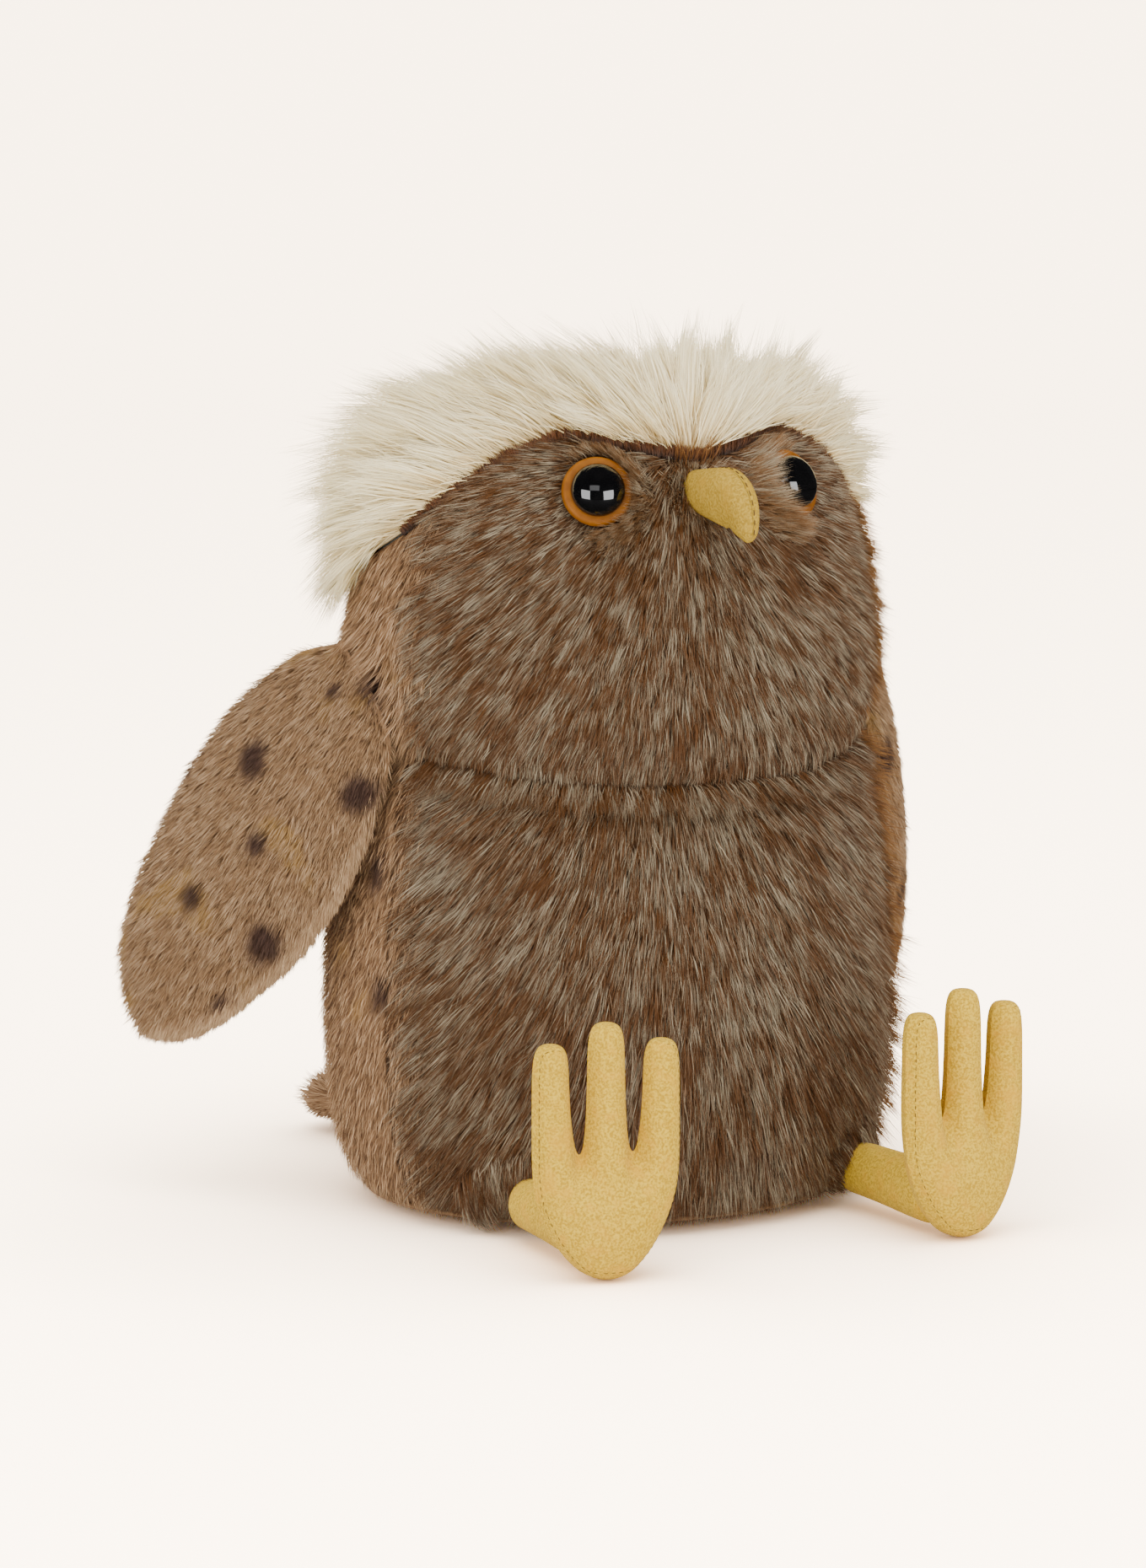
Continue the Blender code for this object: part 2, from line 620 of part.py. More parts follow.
def leaf_pieces(names, edge, middle, out, puffs, cloth, finishes, pivot, blocks):
    """Stuffed leaf: two puffed panels that meet at the seam plane, and the stuffing between them.

    edge(turn) is a point of the seam, middle is the leaf's middle, out is the direction of the first panel.
    """
    def half(sign, puff):
        def place(turn, fall):
            rim = edge(turn) - middle
            shrink = 1.0 - cloth / rim.length
            lift = math.cos(fall * math.pi)
            reach = math.sin(fall * math.pi)
            if abs(lift) < 0.5 / LEAF_RING_COUNT:
                return middle + rim + out * sign * SEAM_GAP / 2.0
            if lift > 0.0:
                return middle + rim * reach + out * sign * (SEAM_GAP / 2.0 + puff * lift)
            return middle + rim * reach * shrink + out * sign * (SEAM_GAP / 2.0 - (puff - cloth) * lift)
        return place

    def filling(turn, fall):
        rim = edge(turn) - middle
        shrink = 1.0 - (cloth + STUFFING_CLEARANCE) / rim.length
        lift = math.cos(fall * math.pi)
        puff = puffs[0] if lift > 0.0 else puffs[1]
        rise = max(puff - cloth - STUFFING_CLEARANCE, cloth / 4.0) * lift
        return middle + rim * math.sin(fall * math.pi) * shrink + out * rise

    pieces = [
        globe(names[0], LEAF_SEGMENT_COUNT, LEAF_RING_COUNT, half(1.0, puffs[0]), finishes[0], pivot),
        globe(names[1], LEAF_SEGMENT_COUNT, LEAF_RING_COUNT, half(-1.0, puffs[1]), finishes[1], pivot),
        globe(names[2], LEAF_SEGMENT_COUNT, LEAF_RING_COUNT - 2, filling, FIBREFILL, pivot),
    ]
    for piece in pieces:
        for block in blocks:
            cut(piece, block)


def wing_frame(side):
    """Ends of the shoulder seam, the wing's middle line and its two cross directions."""
    top_along = HEAD.along(WING_ROOT_HEIGHT_SHARE)
    foot_along = BODY.along(WING_FOOT_HEIGHT_SHARE)
    top = HEAD.point(math.radians(WING_ROOT_AZIMUTH), top_along, -WING_ROOT_STAND_OFF)
    foot = BODY.point(math.radians(WING_FOOT_AZIMUTH), foot_along, -WING_STAND_OFF)
    tip = Vector((BODY_HALF_WIDTH + WING_SPREAD, WING_TIP_BACK, WING_TIP_HEIGHT))
    mirror = Vector((side, 1.0, 1.0))
    top, foot, tip = top * mirror, foot * mirror, tip * mirror
    down = (tip - top).normalized()
    out = (foot - top).cross(down).normalized()
    if out.x * side < 0.0:
        out = -out
    rear = out.cross(down) * side
    return top, foot, down, out, rear, (tip - top).length


def build_wing(word, side, blocks):
    """Leaf-shaped wing, spotted outside and plain inside."""
    top, foot, down, out, rear, length = wing_frame(side)

    def edge(turn):
        share = (1.0 - math.cos(turn)) / 2.0
        if math.sin(turn) >= 0.0:
            width = -smooth(WING_FRONT_SHARES, share)
        else:
            width = smooth(WING_REAR_SHARES, share)
        return top + down * length * share + rear * WING_HALF_WIDTH * width

    middle = top + down * length * WING_MIDDLE_SHARE - rear * WING_HALF_WIDTH * 0.08
    names = ("wing_" + word + "_outer_panel", "wing_" + word + "_inner_panel", "wing_" + word + "_stuffing")
    leaf_pieces(names, edge, middle, out, (WING_OUTER_PUFF, WING_INNER_PUFF), WING_CLOTH_THICKNESS,
                (PLUSH_TAN, PLUSH_TAN), (top + foot) / 2.0, blocks)


def build_tail():
    """Wedge tail with an upper and a lower panel."""
    along = BODY.along((TAIL_HEIGHT - BODY.low(0.0)) / (BODY.high(BODY_BACK) - BODY.low(0.0)))
    root = BODY.point(math.pi, along, -TOUCH_GAP)
    droop = math.radians(TAIL_DROOP)
    back = Vector((0.0, math.cos(droop), -math.sin(droop)))
    up = Vector((0.0, math.sin(droop), math.cos(droop)))
    aside = Vector((1.0, 0.0, 0.0))

    def edge(turn):
        share = (1.0 - math.cos(turn)) / 2.0
        width = smooth(TAIL_WIDTH_SHARES, share) * TAIL_HALF_WIDTH
        if abs(math.sin(turn)) < math.sin(math.pi / LEAF_SEGMENT_COUNT):
            width = 0.0
        sign = 1.0 if math.sin(turn) >= 0.0 else -1.0
        return root + back * TAIL_LENGTH * share + aside * sign * width

    middle = root + back * TAIL_LENGTH * TAIL_MIDDLE_SHARE
    leaf_pieces(("tail_upper_panel", "tail_lower_panel", "tail_stuffing"), edge, middle, up,
                (TAIL_UPPER_PUFF, TAIL_LOWER_PUFF), WING_CLOTH_THICKNESS, (PLUSH_TAN, PLUSH_TAN), root, ())


def foot_cage(inset):
    """Coarse cage of the foot in its own places: X across, -Y to the front, Z up, heel at the origin."""
    toe = TOE_CONTROL_RADIUS - inset
    deep = TOE_CONTROL_DEPTH - inset
    outer = FOOT_HALF_WIDTH - inset
    rows = (
        (inset, 0.42, HEEL_CONTROL_DEPTH * 0.55),
        (FOOT_HEIGHT * 0.10 + inset / 2.0, 0.68, HEEL_CONTROL_DEPTH),
        (FOOT_HEIGHT * 0.26, 0.92, PALM_CONTROL_DEPTH),
        (CROTCH_HEIGHT - inset, 1.0, TOE_CONTROL_DEPTH),
    )
    column_shares = (-1.0, -0.70, -0.355, 0.0, 0.355, 0.70, 1.0)
    columns = len(column_shares) - 1
    crotches = (2, 4)
    bm = bmesh.new()
    front_rows, back_rows = [], []
    for index, (height, width, depth) in enumerate(rows):
        last = index == len(rows) - 1
        front, back = [], []
        for column, share in enumerate(column_shares):
            x = share * width * outer
            edge = column in (0, columns) or (last and column in crotches)
            curve = 1.0 - 0.25 * abs(share)
            y = 0.0 if edge else (depth - inset) * curve
            front.append(bm.verts.new((x, -y, height)))
            back.append(front[-1] if edge else bm.verts.new((x, y, height)))
        front_rows.append(front)
        back_rows.append(back)

    def face(*corners):
        different = []
        for corner in corners:
            if corner not in different:
                different.append(corner)
        if len(different) > 2:
            bm.faces.new(different)

    for lower, upper in zip(front_rows, front_rows[1:]):
        for c in range(columns):
            face(lower[c], lower[c + 1], upper[c + 1], upper[c])
    for lower, upper in zip(back_rows, back_rows[1:]):
        for c in range(columns):
            face(lower[c + 1], lower[c], upper[c], upper[c + 1])
    for c in range(columns):
        face(front_rows[0][c + 1], front_rows[0][c], back_rows[0][c], back_rows[0][c + 1])
    for number, centre in enumerate((-TOE_SPREAD, 0.0, TOE_SPREAD)):
        left, middle, right = 2 * number, 2 * number + 1, 2 * number + 2
        ring = [front_rows[-1][left], front_rows[-1][middle], front_rows[-1][right], back_rows[-1][middle]]
        tip = FOOT_HEIGHT - inset - (0.0 if number == 1 else SIDE_TOE_DROP)
        for height, girth in ((mix(CROTCH_HEIGHT, tip, 0.45), 1.0), (tip, 0.86)):
            reach, depth = toe * girth, deep * girth
            upper = [bm.verts.new((centre - reach, 0.0, height)), bm.verts.new((centre, -depth, height)),
                     bm.verts.new((centre + reach, 0.0, height)), bm.verts.new((centre, depth, height))]
            for c in range(4):
                face(ring[c], ring[(c + 1) % 4], upper[(c + 1) % 4], upper[c])
            ring = upper
        face(*ring)
    bm.normal_update()
    bmesh.ops.recalc_face_normals(bm, faces=bm.faces)
    return bm


def foot_solid(name, inset, matrix, finish=None, pivot=None):
    """Foot form at an inset, as a cage under a subdivision surface."""
    bm = foot_cage(inset)
    bmesh.ops.transform(bm, matrix=matrix, verts=bm.verts)
    made = add_object(name, bm, finish, pivot)
    rounding = made.modifiers.new("rounding", "SUBSURF")
    rounding.levels = 1
    rounding.render_levels = 1
    return made


def leg_points(side):
    """Hip, ankle and the middle of the foot's heel."""
    along = BODY.along((HIP_HEIGHT - BODY.low(0.0)) / (BODY.high(0.0) - BODY.low(0.0)))
    hip = BODY.point(math.radians(HIP_AZIMUTH), along, -HIP_STAND_OFF)
    hip.z = HIP_HEIGHT
    splay = math.radians(LEG_SPLAY)
    ankle = hip + Vector((math.sin(splay), -math.cos(splay), 0.0)) * LEG_LENGTH
    ankle.z = ANKLE_HEIGHT
    turn = math.radians(FOOT_SPLAY)
    stand = HEEL_CONTROL_DEPTH * 0.72 + ANKLE_RADIUS - SOCKET_DEPTH
    heel = ankle + Vector((math.sin(turn), -math.cos(turn), 0.0)) * stand
    heel.z = 0.0
    mirror = Vector((side, 1.0, 1.0))
    return hip * mirror, ankle * mirror, heel * mirror


def build_leg(word, side, neighbours):
    """Suede leg that swings at the hip, with a three-toed foot that flexes at the ankle."""
    hip, ankle, heel = leg_points(side)
    way = (ankle - hip).normalized()
    aside = way.cross(Vector((0.0, 0.0, 1.0))).normalized()
    over = aside.cross(way)

    def capsule(polar, turn, inset):
        """Point on the leg: half a ball at the hip, a tapering tube and half a ball at the ankle."""
        at_hip = polar < math.pi / 2.0
        centre = hip if at_hip else ankle
        radius = (HIP_RADIUS if at_hip else ANKLE_RADIUS) - inset
        ring = aside * math.cos(turn) + over * math.sin(turn)
        return centre - way * radius * math.cos(polar) + ring * radius * math.sin(polar)

    polars = [math.radians(angle) for angle in (24.0, 55.0, 89.9, 90.1, 125.0, 156.0)]
    bm = bmesh.new()
    bmesh.ops.create_grid(bm, x_segments=LEG_SEGMENT_COUNT, y_segments=len(polars) - 1, size=0.5)
    for vertex in bm.verts:
        turn = (vertex.co.x + 0.5) * 2.0 * math.pi
        polar = polars[round((vertex.co.y + 0.5) * (len(polars) - 1))]
        vertex.co = capsule(polar, turn, 0.0)
    bmesh.ops.remove_doubles(bm, verts=bm.verts, dist=TOUCH_GAP / 10.0)
    bm.normal_update()
    bmesh.ops.recalc_face_normals(bm, faces=bm.faces)
    wall(add_object("leg_" + word + "_sleeve", bm, SUEDE, hip), SUEDE_THICKNESS)

    def filling(turn, fall):
        polar = fall * math.pi
        inset = SUEDE_THICKNESS + STUFFING_CLEARANCE / 2.0
        if abs(polar - math.pi / 2.0) < 0.01:
            polar = math.pi / 2.0 + 0.01
        return capsule(polar, turn, inset)

    globe("leg_" + word + "_stuffing", LEG_SEGMENT_COUNT, 7, filling, FIBREFILL, hip)

    def ball(name, centre, radius):
        def place(turn, fall):
            reach = radius * math.sin(fall * math.pi)
            return centre + Vector((reach * math.sin(turn), -reach * math.cos(turn),
                                    radius * math.cos(fall * math.pi)))
        return globe(name, GLOBE_SEGMENT_COUNT - 4, GLOBE_RING_COUNT, place)

    hip_socket = ball(word + "_hip_socket", hip, HIP_RADIUS + SOCKET_CLEARANCE)
    for neighbour in neighbours:
        cut(neighbour, hip_socket)
    ankle_socket = ball(word + "_ankle_socket", ankle, ANKLE_RADIUS + SOCKET_CLEARANCE)

    turn = Matrix.Rotation(side * math.radians(FOOT_SPLAY), 4, "Z")
    place = Matrix.Translation(heel) @ turn
    hollow = foot_solid(word + "_foot_hollow", SUEDE_THICKNESS, place)
    wide = FOOT_HALF_WIDTH + CUT_OVERRUN
    for piece, sign in (("sole_panel", 1.0), ("instep_panel", -1.0)):
        panel = foot_solid("foot_" + word + "_" + piece, 0.0, place, SUEDE, ankle)
        edge, far = -sign * SEAM_GAP / 2.0, sign * FOOT_HALF_WIDTH
        half = box_cutter(word + "_" + piece + "_half", (-wide, min(edge, far), -CUT_OVERRUN),
                          (wide, max(edge, far), FOOT_HEIGHT + CUT_OVERRUN), place)
        cut(cut(panel, half), hollow)
        if sign < 0.0:
            cut(panel, ankle_socket)
    cut(foot_solid("foot_" + word + "_stuffing", SUEDE_THICKNESS + 1.5 * STUFFING_CLEARANCE, place,
                   FIBREFILL, ankle), ankle_socket)


def main():
    """Build the owl, the larger forms first."""
    belly, back, body_stuffing = build_body()
    face, head_stuffing = build_head()
    body_block = form_solid("body_block", BODY, -TOUCH_GAP, open_top=True, fineness=2)
    head_block = form_solid("head_block", HEAD, -TOUCH_GAP, fineness=2)
    for word, side in (("right", -1), ("left", 1)):
        build_eye(word, side, face, head_stuffing)
        build_wing(word, side, (head_block, body_block))
        build_leg(word, side, (belly, body_stuffing))
    build_beak(head_block)
    build_tail()


main()
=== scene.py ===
"""Looks of the sitting plush owl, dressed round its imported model.

Metres, +Z up. The owl faces -Y and sits on the origin; right and left are its own, so its
right side is at -X. Every cloth panel is a surface worked out on a grid, and its pile is
grown from that surface as thin ribbons, gathered in locks.
"""
import logging
import math
from collections.abc import Callable
from dataclasses import dataclass, field, replace
from enum import Enum
from functools import cache, partial

import bpy
import numpy as np
from mathutils import Matrix, Vector
from mathutils.bvhtree import BVHTree


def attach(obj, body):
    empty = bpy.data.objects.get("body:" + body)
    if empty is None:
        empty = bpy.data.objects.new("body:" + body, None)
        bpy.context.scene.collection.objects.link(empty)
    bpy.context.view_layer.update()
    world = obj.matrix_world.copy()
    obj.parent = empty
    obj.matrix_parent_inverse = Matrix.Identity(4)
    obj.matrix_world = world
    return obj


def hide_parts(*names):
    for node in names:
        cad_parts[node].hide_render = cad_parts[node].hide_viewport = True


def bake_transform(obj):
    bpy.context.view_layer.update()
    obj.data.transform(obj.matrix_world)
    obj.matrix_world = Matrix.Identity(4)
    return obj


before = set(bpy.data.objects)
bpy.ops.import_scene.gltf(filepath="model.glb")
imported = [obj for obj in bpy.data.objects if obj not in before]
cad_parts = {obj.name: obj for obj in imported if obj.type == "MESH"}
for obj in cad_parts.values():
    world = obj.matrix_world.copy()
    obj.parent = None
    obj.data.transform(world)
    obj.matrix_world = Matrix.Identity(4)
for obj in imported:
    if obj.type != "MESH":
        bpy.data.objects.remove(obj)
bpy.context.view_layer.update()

LOG = logging.getLogger("plush_owl")
MM = 0.001
PHOTO_HEIGHT = 1860
FLOOR_CLEARANCE = 0.3 * MM
PILE_TOP = 236.0 * MM
PILE_SQUEEZE = 0.6
FULL_TURN = 2.0 * math.pi
NORMAL_STEP = 0.002
WAY_STEP = 0.004
ACROSS = np.array([1.0, 0.0, 0.0])
UP = np.array([0.0, 0.0, 1.0])
Array = np.ndarray
Colour = tuple[float, float, float]
Rows = tuple[tuple[float, float, float], ...]
Edge = float | Callable[[Array], Array]
Material = bpy.types.Material
Piece = bpy.types.Object
Socket = bpy.types.NodeSocket
Looks = dict[str, Material]


class Slot(str, Enum):
    """Finishes that the record names."""

    BROWN = "frosted_brown_plush"
    TAN = "spotted_tan_plush"
    IVORY = "ivory_long_pile"
    SUEDE = "yellow_suede"
    AMBER = "amber_plastic"
    BLACK = "black_gloss_plastic"
    WASHER = "washer_plastic"
    PELLETS = "pellet_bag_cloth"
    FILLING = "white_fibrefill"


class Side(Enum):
    """The owl's own right and left, with the sign of X there."""

    RIGHT = ("right", -1.0)
    LEFT = ("left", 1.0)

    @property
    def word(self) -> str:
        """Name of the side."""
        return self.value[0]

    @property
    def sign(self) -> float:
        """Sign of X on the side."""
        return self.value[1]

    @property
    def mirror(self) -> Array:
        """Factors that bring a point of the left side to this side."""
        return np.array([self.sign, 1.0, 1.0])


# Curves and forms


@dataclass(frozen=True)
class Curve:
    """Curve without overshoot through (place, value) pairs."""

    pairs: tuple[tuple[float, float], ...]

    def at(self, place: Array) -> Array:
        """Read the curve: a cubic between neighbours whose end slopes are harmonic means.

        Args:
            place: Places to read, held between the first and the last pair.

        Returns:
            The values there.
        """
        places, values = np.array(self.pairs, float).T
        widths = np.diff(places)
        slopes = np.diff(values) / widths
        before, after = slopes[:-1], slopes[1:]
        level = before * after <= 0.0
        both = np.where(level, 1.0, before + after)
        inner = np.where(level, 0.0, 2.0 * before * after / both)
        tangents = np.concatenate([slopes[:1], inner, slopes[-1:]])
        place = np.clip(place, places[0], places[-1])
        index = np.clip(np.searchsorted(places, place, side="left") - 1, 0, len(widths) - 1)
        width = widths[index]
        t = (place - places[index]) / width
        start = (1 + 2 * t) * (1 - t) ** 2 * values[index] + t * (1 - t) ** 2 * width * tangents[index]
        end = t * t * (3 - 2 * t) * values[index + 1] + t * t * (t - 1) * width * tangents[index + 1]
        return start + end


def unit(vectors: Array) -> Array:
    """Vectors of length one in the same directions."""
    return vectors / np.maximum(np.linalg.norm(vectors, axis=-1, keepdims=True), 1e-12)


def mix(low: Array, high: Array, share: Array) -> Array:
    """Go from low to high by a share."""
    return low + (high - low) * share


def ease(low: float, high: float, value: Array) -> Array:
    """Share from 0 at low to 1 at high, with a soft start and end."""
    t = np.clip((value - low) / (high - low), 0.0, 1.0)
    return t * t * (3.0 - 2.0 * t)


@dataclass
class Form:
    """Round form about the Z axis, read by azimuth (0 is the front) and by share of its outline."""

    half_width: float
    front: float
    front_curve: Curve
    back: float
    back_curve: Curve
    outline: tuple[tuple[float, float], ...]
    low: Callable[[Array], Array]
    high: Callable[[Array], Array]
    pinch: float = 0.0
    length: float = field(init=False)
    girths: Curve = field(init=False)
    heights: Curve = field(init=False)

    def __post_init__(self) -> None:
        """Measure the outline, whose places are shares of its length."""
        girths, heights = np.array(self.outline).T
        tall = self.high(0.0) - self.low(0.0)
        steps = np.hypot(np.diff(girths) * self.half_width, np.diff(heights) * tall)
        places = np.concatenate([[0.0], np.cumsum(steps)])
        self.length = float(places[-1])
        places = places / self.length
        self.girths = Curve(tuple(zip(places, girths)))
        self.heights = Curve(tuple(zip(places, heights)))

    def along(self, height_share: Array) -> Array:
        """Share of the outline at which the form reaches a share of its height."""
        places = np.linspace(0.0, 1.0, 2001)
        return np.interp(height_share, self.heights.at(places), places)

    def along_at(self, height: float, depth: float = 0.0) -> Array:
        """Share of the outline at a height over the floor, where Y is the depth."""
        low, high = self.low(depth), self.high(depth)
        return self.along((height - low) / (high - low))

    def skin(self, azimuth: Array, along: Array) -> Array:
        """Point on the outer surface: an ellipse's girth turned by azimuth, its depth eased by height.

        Args:
            azimuth: Angle from the front, towards +X.
            along: Share of the outline.

        Returns:
            Points, one row each.
        """
        girth, height = self.girths.at(along), self.heights.at(along)
        ahead = np.cos(azimuth)
        x = self.half_width * girth * np.sin(azimuth)
        before = -self.front * self.front_curve.at(height) * girth * ahead
        rear = np.maximum(-ahead, 0.0) ** (1.0 + self.pinch * height)
        behind = self.back * self.back_curve.at(height) * girth * rear
        y = np.where(ahead > 0.0, before, behind)
        z = mix(self.low(y), self.high(y), height)
        return np.stack([x, y, z], -1)

    def tangents(self, azimuth: Array, along: Array, step: float) -> tuple[Array, Array]:
        """How far the surface goes over a step both ways: across, towards +azimuth, and up."""
        across = self.skin(azimuth + step, along) - self.skin(azimuth - step, along)
        above, below = np.minimum(along + step, 1.0), np.maximum(along - step, 0.0)
        return across, self.skin(azimuth, above) - self.skin(azimuth, below)

    def normal(self, azimuth: Array, along: Array) -> Array:
        """Direction straight out of the surface, which is up at the pole."""
        out = unit(np.cross(*self.tangents(azimuth, along, NORMAL_STEP)))
        pole = (self.girths.at(along) < 0.01)[..., None]
        return np.where(pole, UP, out)

    def point(self, azimuth: Array, along: Array, depth: float = 0.0) -> Array:
        """Point at a depth under the surface."""
        return self.skin(azimuth, along) - self.normal(azimuth, along) * depth

    def spot(self, degrees: float, along: Array, depth: float = 0.0) -> Array:
        """One point, by its azimuth in degrees."""
        return self.point(np.array(math.radians(degrees)), along, depth)


NECK_HEIGHT = 127.0 * MM
NECK_SLOPE = 0.16
SEAM_GAP = 0.5 * MM
BASE_HEIGHT = 2.7 * MM
HEAD_TOP = 213.0 * MM
HEAD_GIRTH = 0.875 / 0.917
STRAIGHT = Curve(((0.0, 1.0), (1.0, 1.0)))
BODY = Form(
    77.0 * MM, 70.0 * MM, Curve(((0.0, 1.0), (0.45, 1.0), (0.75, 0.97), (1.0, 0.93))), 68.0 * MM, STRAIGHT,
    ((0.86, 0.0), (0.925, 0.06), (0.965, 0.14), (0.99, 0.25), (1.0, 0.38), (0.99, 0.58), (0.965, 0.76),
     (0.935, 0.90), (0.875, 1.0)),
    lambda depth: BASE_HEIGHT,
    lambda depth: NECK_HEIGHT + NECK_SLOPE * depth - SEAM_GAP / 2.0,
)
HEAD = Form(
    77.0 * MM * HEAD_GIRTH, 70.0 * 0.93 * MM * HEAD_GIRTH, STRAIGHT, 68.0 * MM * HEAD_GIRTH,
    Curve(((0.0, 1.0), (0.16, 0.94), (0.28, 0.88), (0.50, 0.79), (0.84, 0.71), (1.0, 0.69))),
    ((0.917, 0.0), (0.97, 0.07), (1.0, 0.18), (0.995, 0.33), (0.965, 0.50), (0.91, 0.68), (0.83, 0.82),
     (0.68, 0.93), (0.40, 0.985), (0.0, 1.0)),
    lambda depth: NECK_HEIGHT + NECK_SLOPE * depth + SEAM_GAP / 2.0,
    lambda depth: HEAD_TOP,
    0.7,
)
BROW = Curve(((0.0, 0.855), (16.0, 0.885), (33.0, 0.915), (47.0, 0.87), (60.0, 0.77),
              (84.0, 0.575), (104.0, 0.475), (140.0, 0.475), (180.0, 0.50)))
SIDE_SEAM = math.radians(76.5)
FUR_SEAM = math.radians(69.5)
TAN_START = math.radians(61.0)
EYE_PLACE = (26.0, HEAD.along(0.765))
EYE_SEATS = np.stack([HEAD.spot(sign * EYE_PLACE[0], EYE_PLACE[1]) for sign in (-1.0, 1.0)])
BEAK_ALONG = HEAD.along(0.775)
BEAK_SEAT = HEAD.spot(0.0, BEAK_ALONG)
WING_TOP = (90.0, HEAD.along(0.28))
WING_FOOT = (75.0, BODY.along(0.965))


def turn_from_front(azimuth: Array) -> Array:
    """Size of an azimuth's turn from the front, up to half a turn."""
    return np.abs(np.arctan2(np.sin(azimuth), np.cos(azimuth)))


def brown_share(azimuth: Array, along: Array) -> Array:
    """Density of the brown pile towards the side seam, whose edge wanders by a sum of three sines."""
    waves = np.sin(along * 31.0) + np.sin(along * 67.0 + 1.0) + np.sin(along * 139.0 + 2.0)
    edge = FUR_SEAM + math.radians(1.3) * waves
    return ease(edge + math.radians(1.0), edge - math.radians(5.0), turn_from_front(azimuth))


def brow_along(azimuth: Array, shift: float = 0.0) -> Array:
    """Outline share of the crown's seam at an azimuth, moved up the surface by a length."""
    return HEAD.along(BROW.at(np.degrees(turn_from_front(azimuth)))) + shift / HEAD.length


def brow_edge(shift: float) -> Edge:
    """Edge that follows the crown's seam, moved up the surface by a length."""
    return partial(brow_along, shift=shift)


def heading(degrees: float) -> Array:
    """Level direction at an azimuth in degrees."""
    return np.array([math.sin(math.radians(degrees)), -math.cos(math.radians(degrees)), 0.0])


# Meshes


def lay_mesh(name: str, points: Array, loops: Array, totals: Array, finish: Material,
             uv: Array | None = None, hair: Array | None = None) -> Piece:
    """Put points and faces into a new object.

    Args:
        name: Name of the piece.
        points: Places of the vertices.
        loops: Vertex numbers of all the faces, one after another.
        totals: How many corners each face has.
        finish: Material.
        uv: Places of the corners on the piece's own map.
        hair: Colour attribute of the vertices, which the fur's material reads.

    Returns:
        The object, at the origin.
    """
    mesh = bpy.data.meshes.new(name)
    mesh.vertices.add(len(points))
    mesh.vertices.foreach_set("co", np.ascontiguousarray(points, np.float32).ravel())
    mesh.loops.add(len(loops))
    mesh.loops.foreach_set("vertex_index", np.ascontiguousarray(loops, np.int32))
    mesh.polygons.add(len(totals))
    starts = np.concatenate([[0], np.cumsum(totals)[:-1]])
    mesh.polygons.foreach_set("loop_start", starts.astype(np.int32))
    mesh.polygons.foreach_set("use_smooth", np.ones(len(totals), bool))
    if uv is not None:
        layer = mesh.uv_layers.new(name="OFBake")
        layer.data.foreach_set("uv", np.ascontiguousarray(uv, np.float32).ravel())
    mesh.update(calc_edges=True)
    if hair is not None:
        colours = mesh.color_attributes.new("hair", "FLOAT_COLOR", "POINT")
        colours.data.foreach_set("color", np.ascontiguousarray(hair, np.float32).ravel())
    mesh.materials.append(finish)
    made = bpy.data.objects.new(name, mesh)
    bpy.context.scene.collection.objects.link(made)
    return made


def grid_faces(rows: int, columns: int, around: bool) -> tuple[Array, Array]:
    """Faces that each join four neighbours of a grid of points.

    Args:
        rows: Rows of points.
        columns: Points in a row.
        around: Join the last column to the first.

    Returns:
        The corners' numbers by face, and their places on a map.
    """
    spans = columns if around else columns - 1
    row, column = (part.ravel() for part in np.meshgrid(np.arange(rows - 1), np.arange(spans), indexing="ij"))
    start, beside = row * columns, (column + 1) % columns
    quads = np.stack([start + column, start + beside, start + columns + beside, start + columns + column], -1)
    across, up = np.array([0, 1, 1, 0]), np.array([0, 0, 1, 1])
    return quads, np.stack([(column[:, None] + across) / spans, (row[:, None] + up) / (rows - 1)], -1)


def grid_piece(name: str, points: Array, finish: Material, around: bool = False,
               caps: tuple[bool, bool] = (False, False), hair: Array | None = None) -> Piece:
    """Make a piece of a grid of points, with its faces turned outward.

    A cap is a fan to the middle of an end row.

    Args:
        name: Name of the piece.
        points: Grid of points, rows by columns.
        finish: Material.
        around: Join the last column to the first.
        caps: Close the first and the last row.
        hair: Colour attribute for each point of a grid without caps.

    Returns:
        The object.
    """
    rows, columns = points.shape[:2]
    quads, uv = grid_faces(rows, columns, around)
    places = points.reshape(-1, 3)
    loops, totals, corners = quads.ravel(), np.full(len(quads), 4), uv.reshape(-1, 2)
    turn = np.arange(columns) / columns * 2.0 * math.pi
    ring_uv = np.stack([0.5 + 0.01 * np.cos(turn), 0.5 + 0.01 * np.sin(turn)], -1)
    fan_uv = np.stack([ring_uv, np.roll(ring_uv, -1, 0), np.full((columns, 2), 0.5)], 1)
    for start, wanted in zip((0, (rows - 1) * columns), caps):
        if not wanted:
            continue
        ring = start + np.arange(columns)
        pair = [ring, np.roll(ring, -1)] if start else [np.roll(ring, -1), ring]
        fan = np.stack([*pair, np.full(columns, len(places))], -1)
        places = np.vstack([places, places[ring].mean(0)])
        loops = np.concatenate([loops, fan.ravel()])
        totals = np.concatenate([totals, np.full(columns, 3)])
        corners = np.vstack([corners, fan_uv.reshape(-1, 2)])
    if outward_sum(places, quads) < 0.0:
        starts = np.concatenate([[0], np.cumsum(totals)[:-1]])
        face = np.repeat(np.arange(len(totals)), totals)
        index = (2 * starts + totals - 1)[face] - np.arange(len(loops))
        loops, corners = loops[index], corners[index]
    hairs = None if hair is None else hair.reshape(-1, 4)
    return lay_mesh(name, places, loops, totals, finish, corners, hairs)


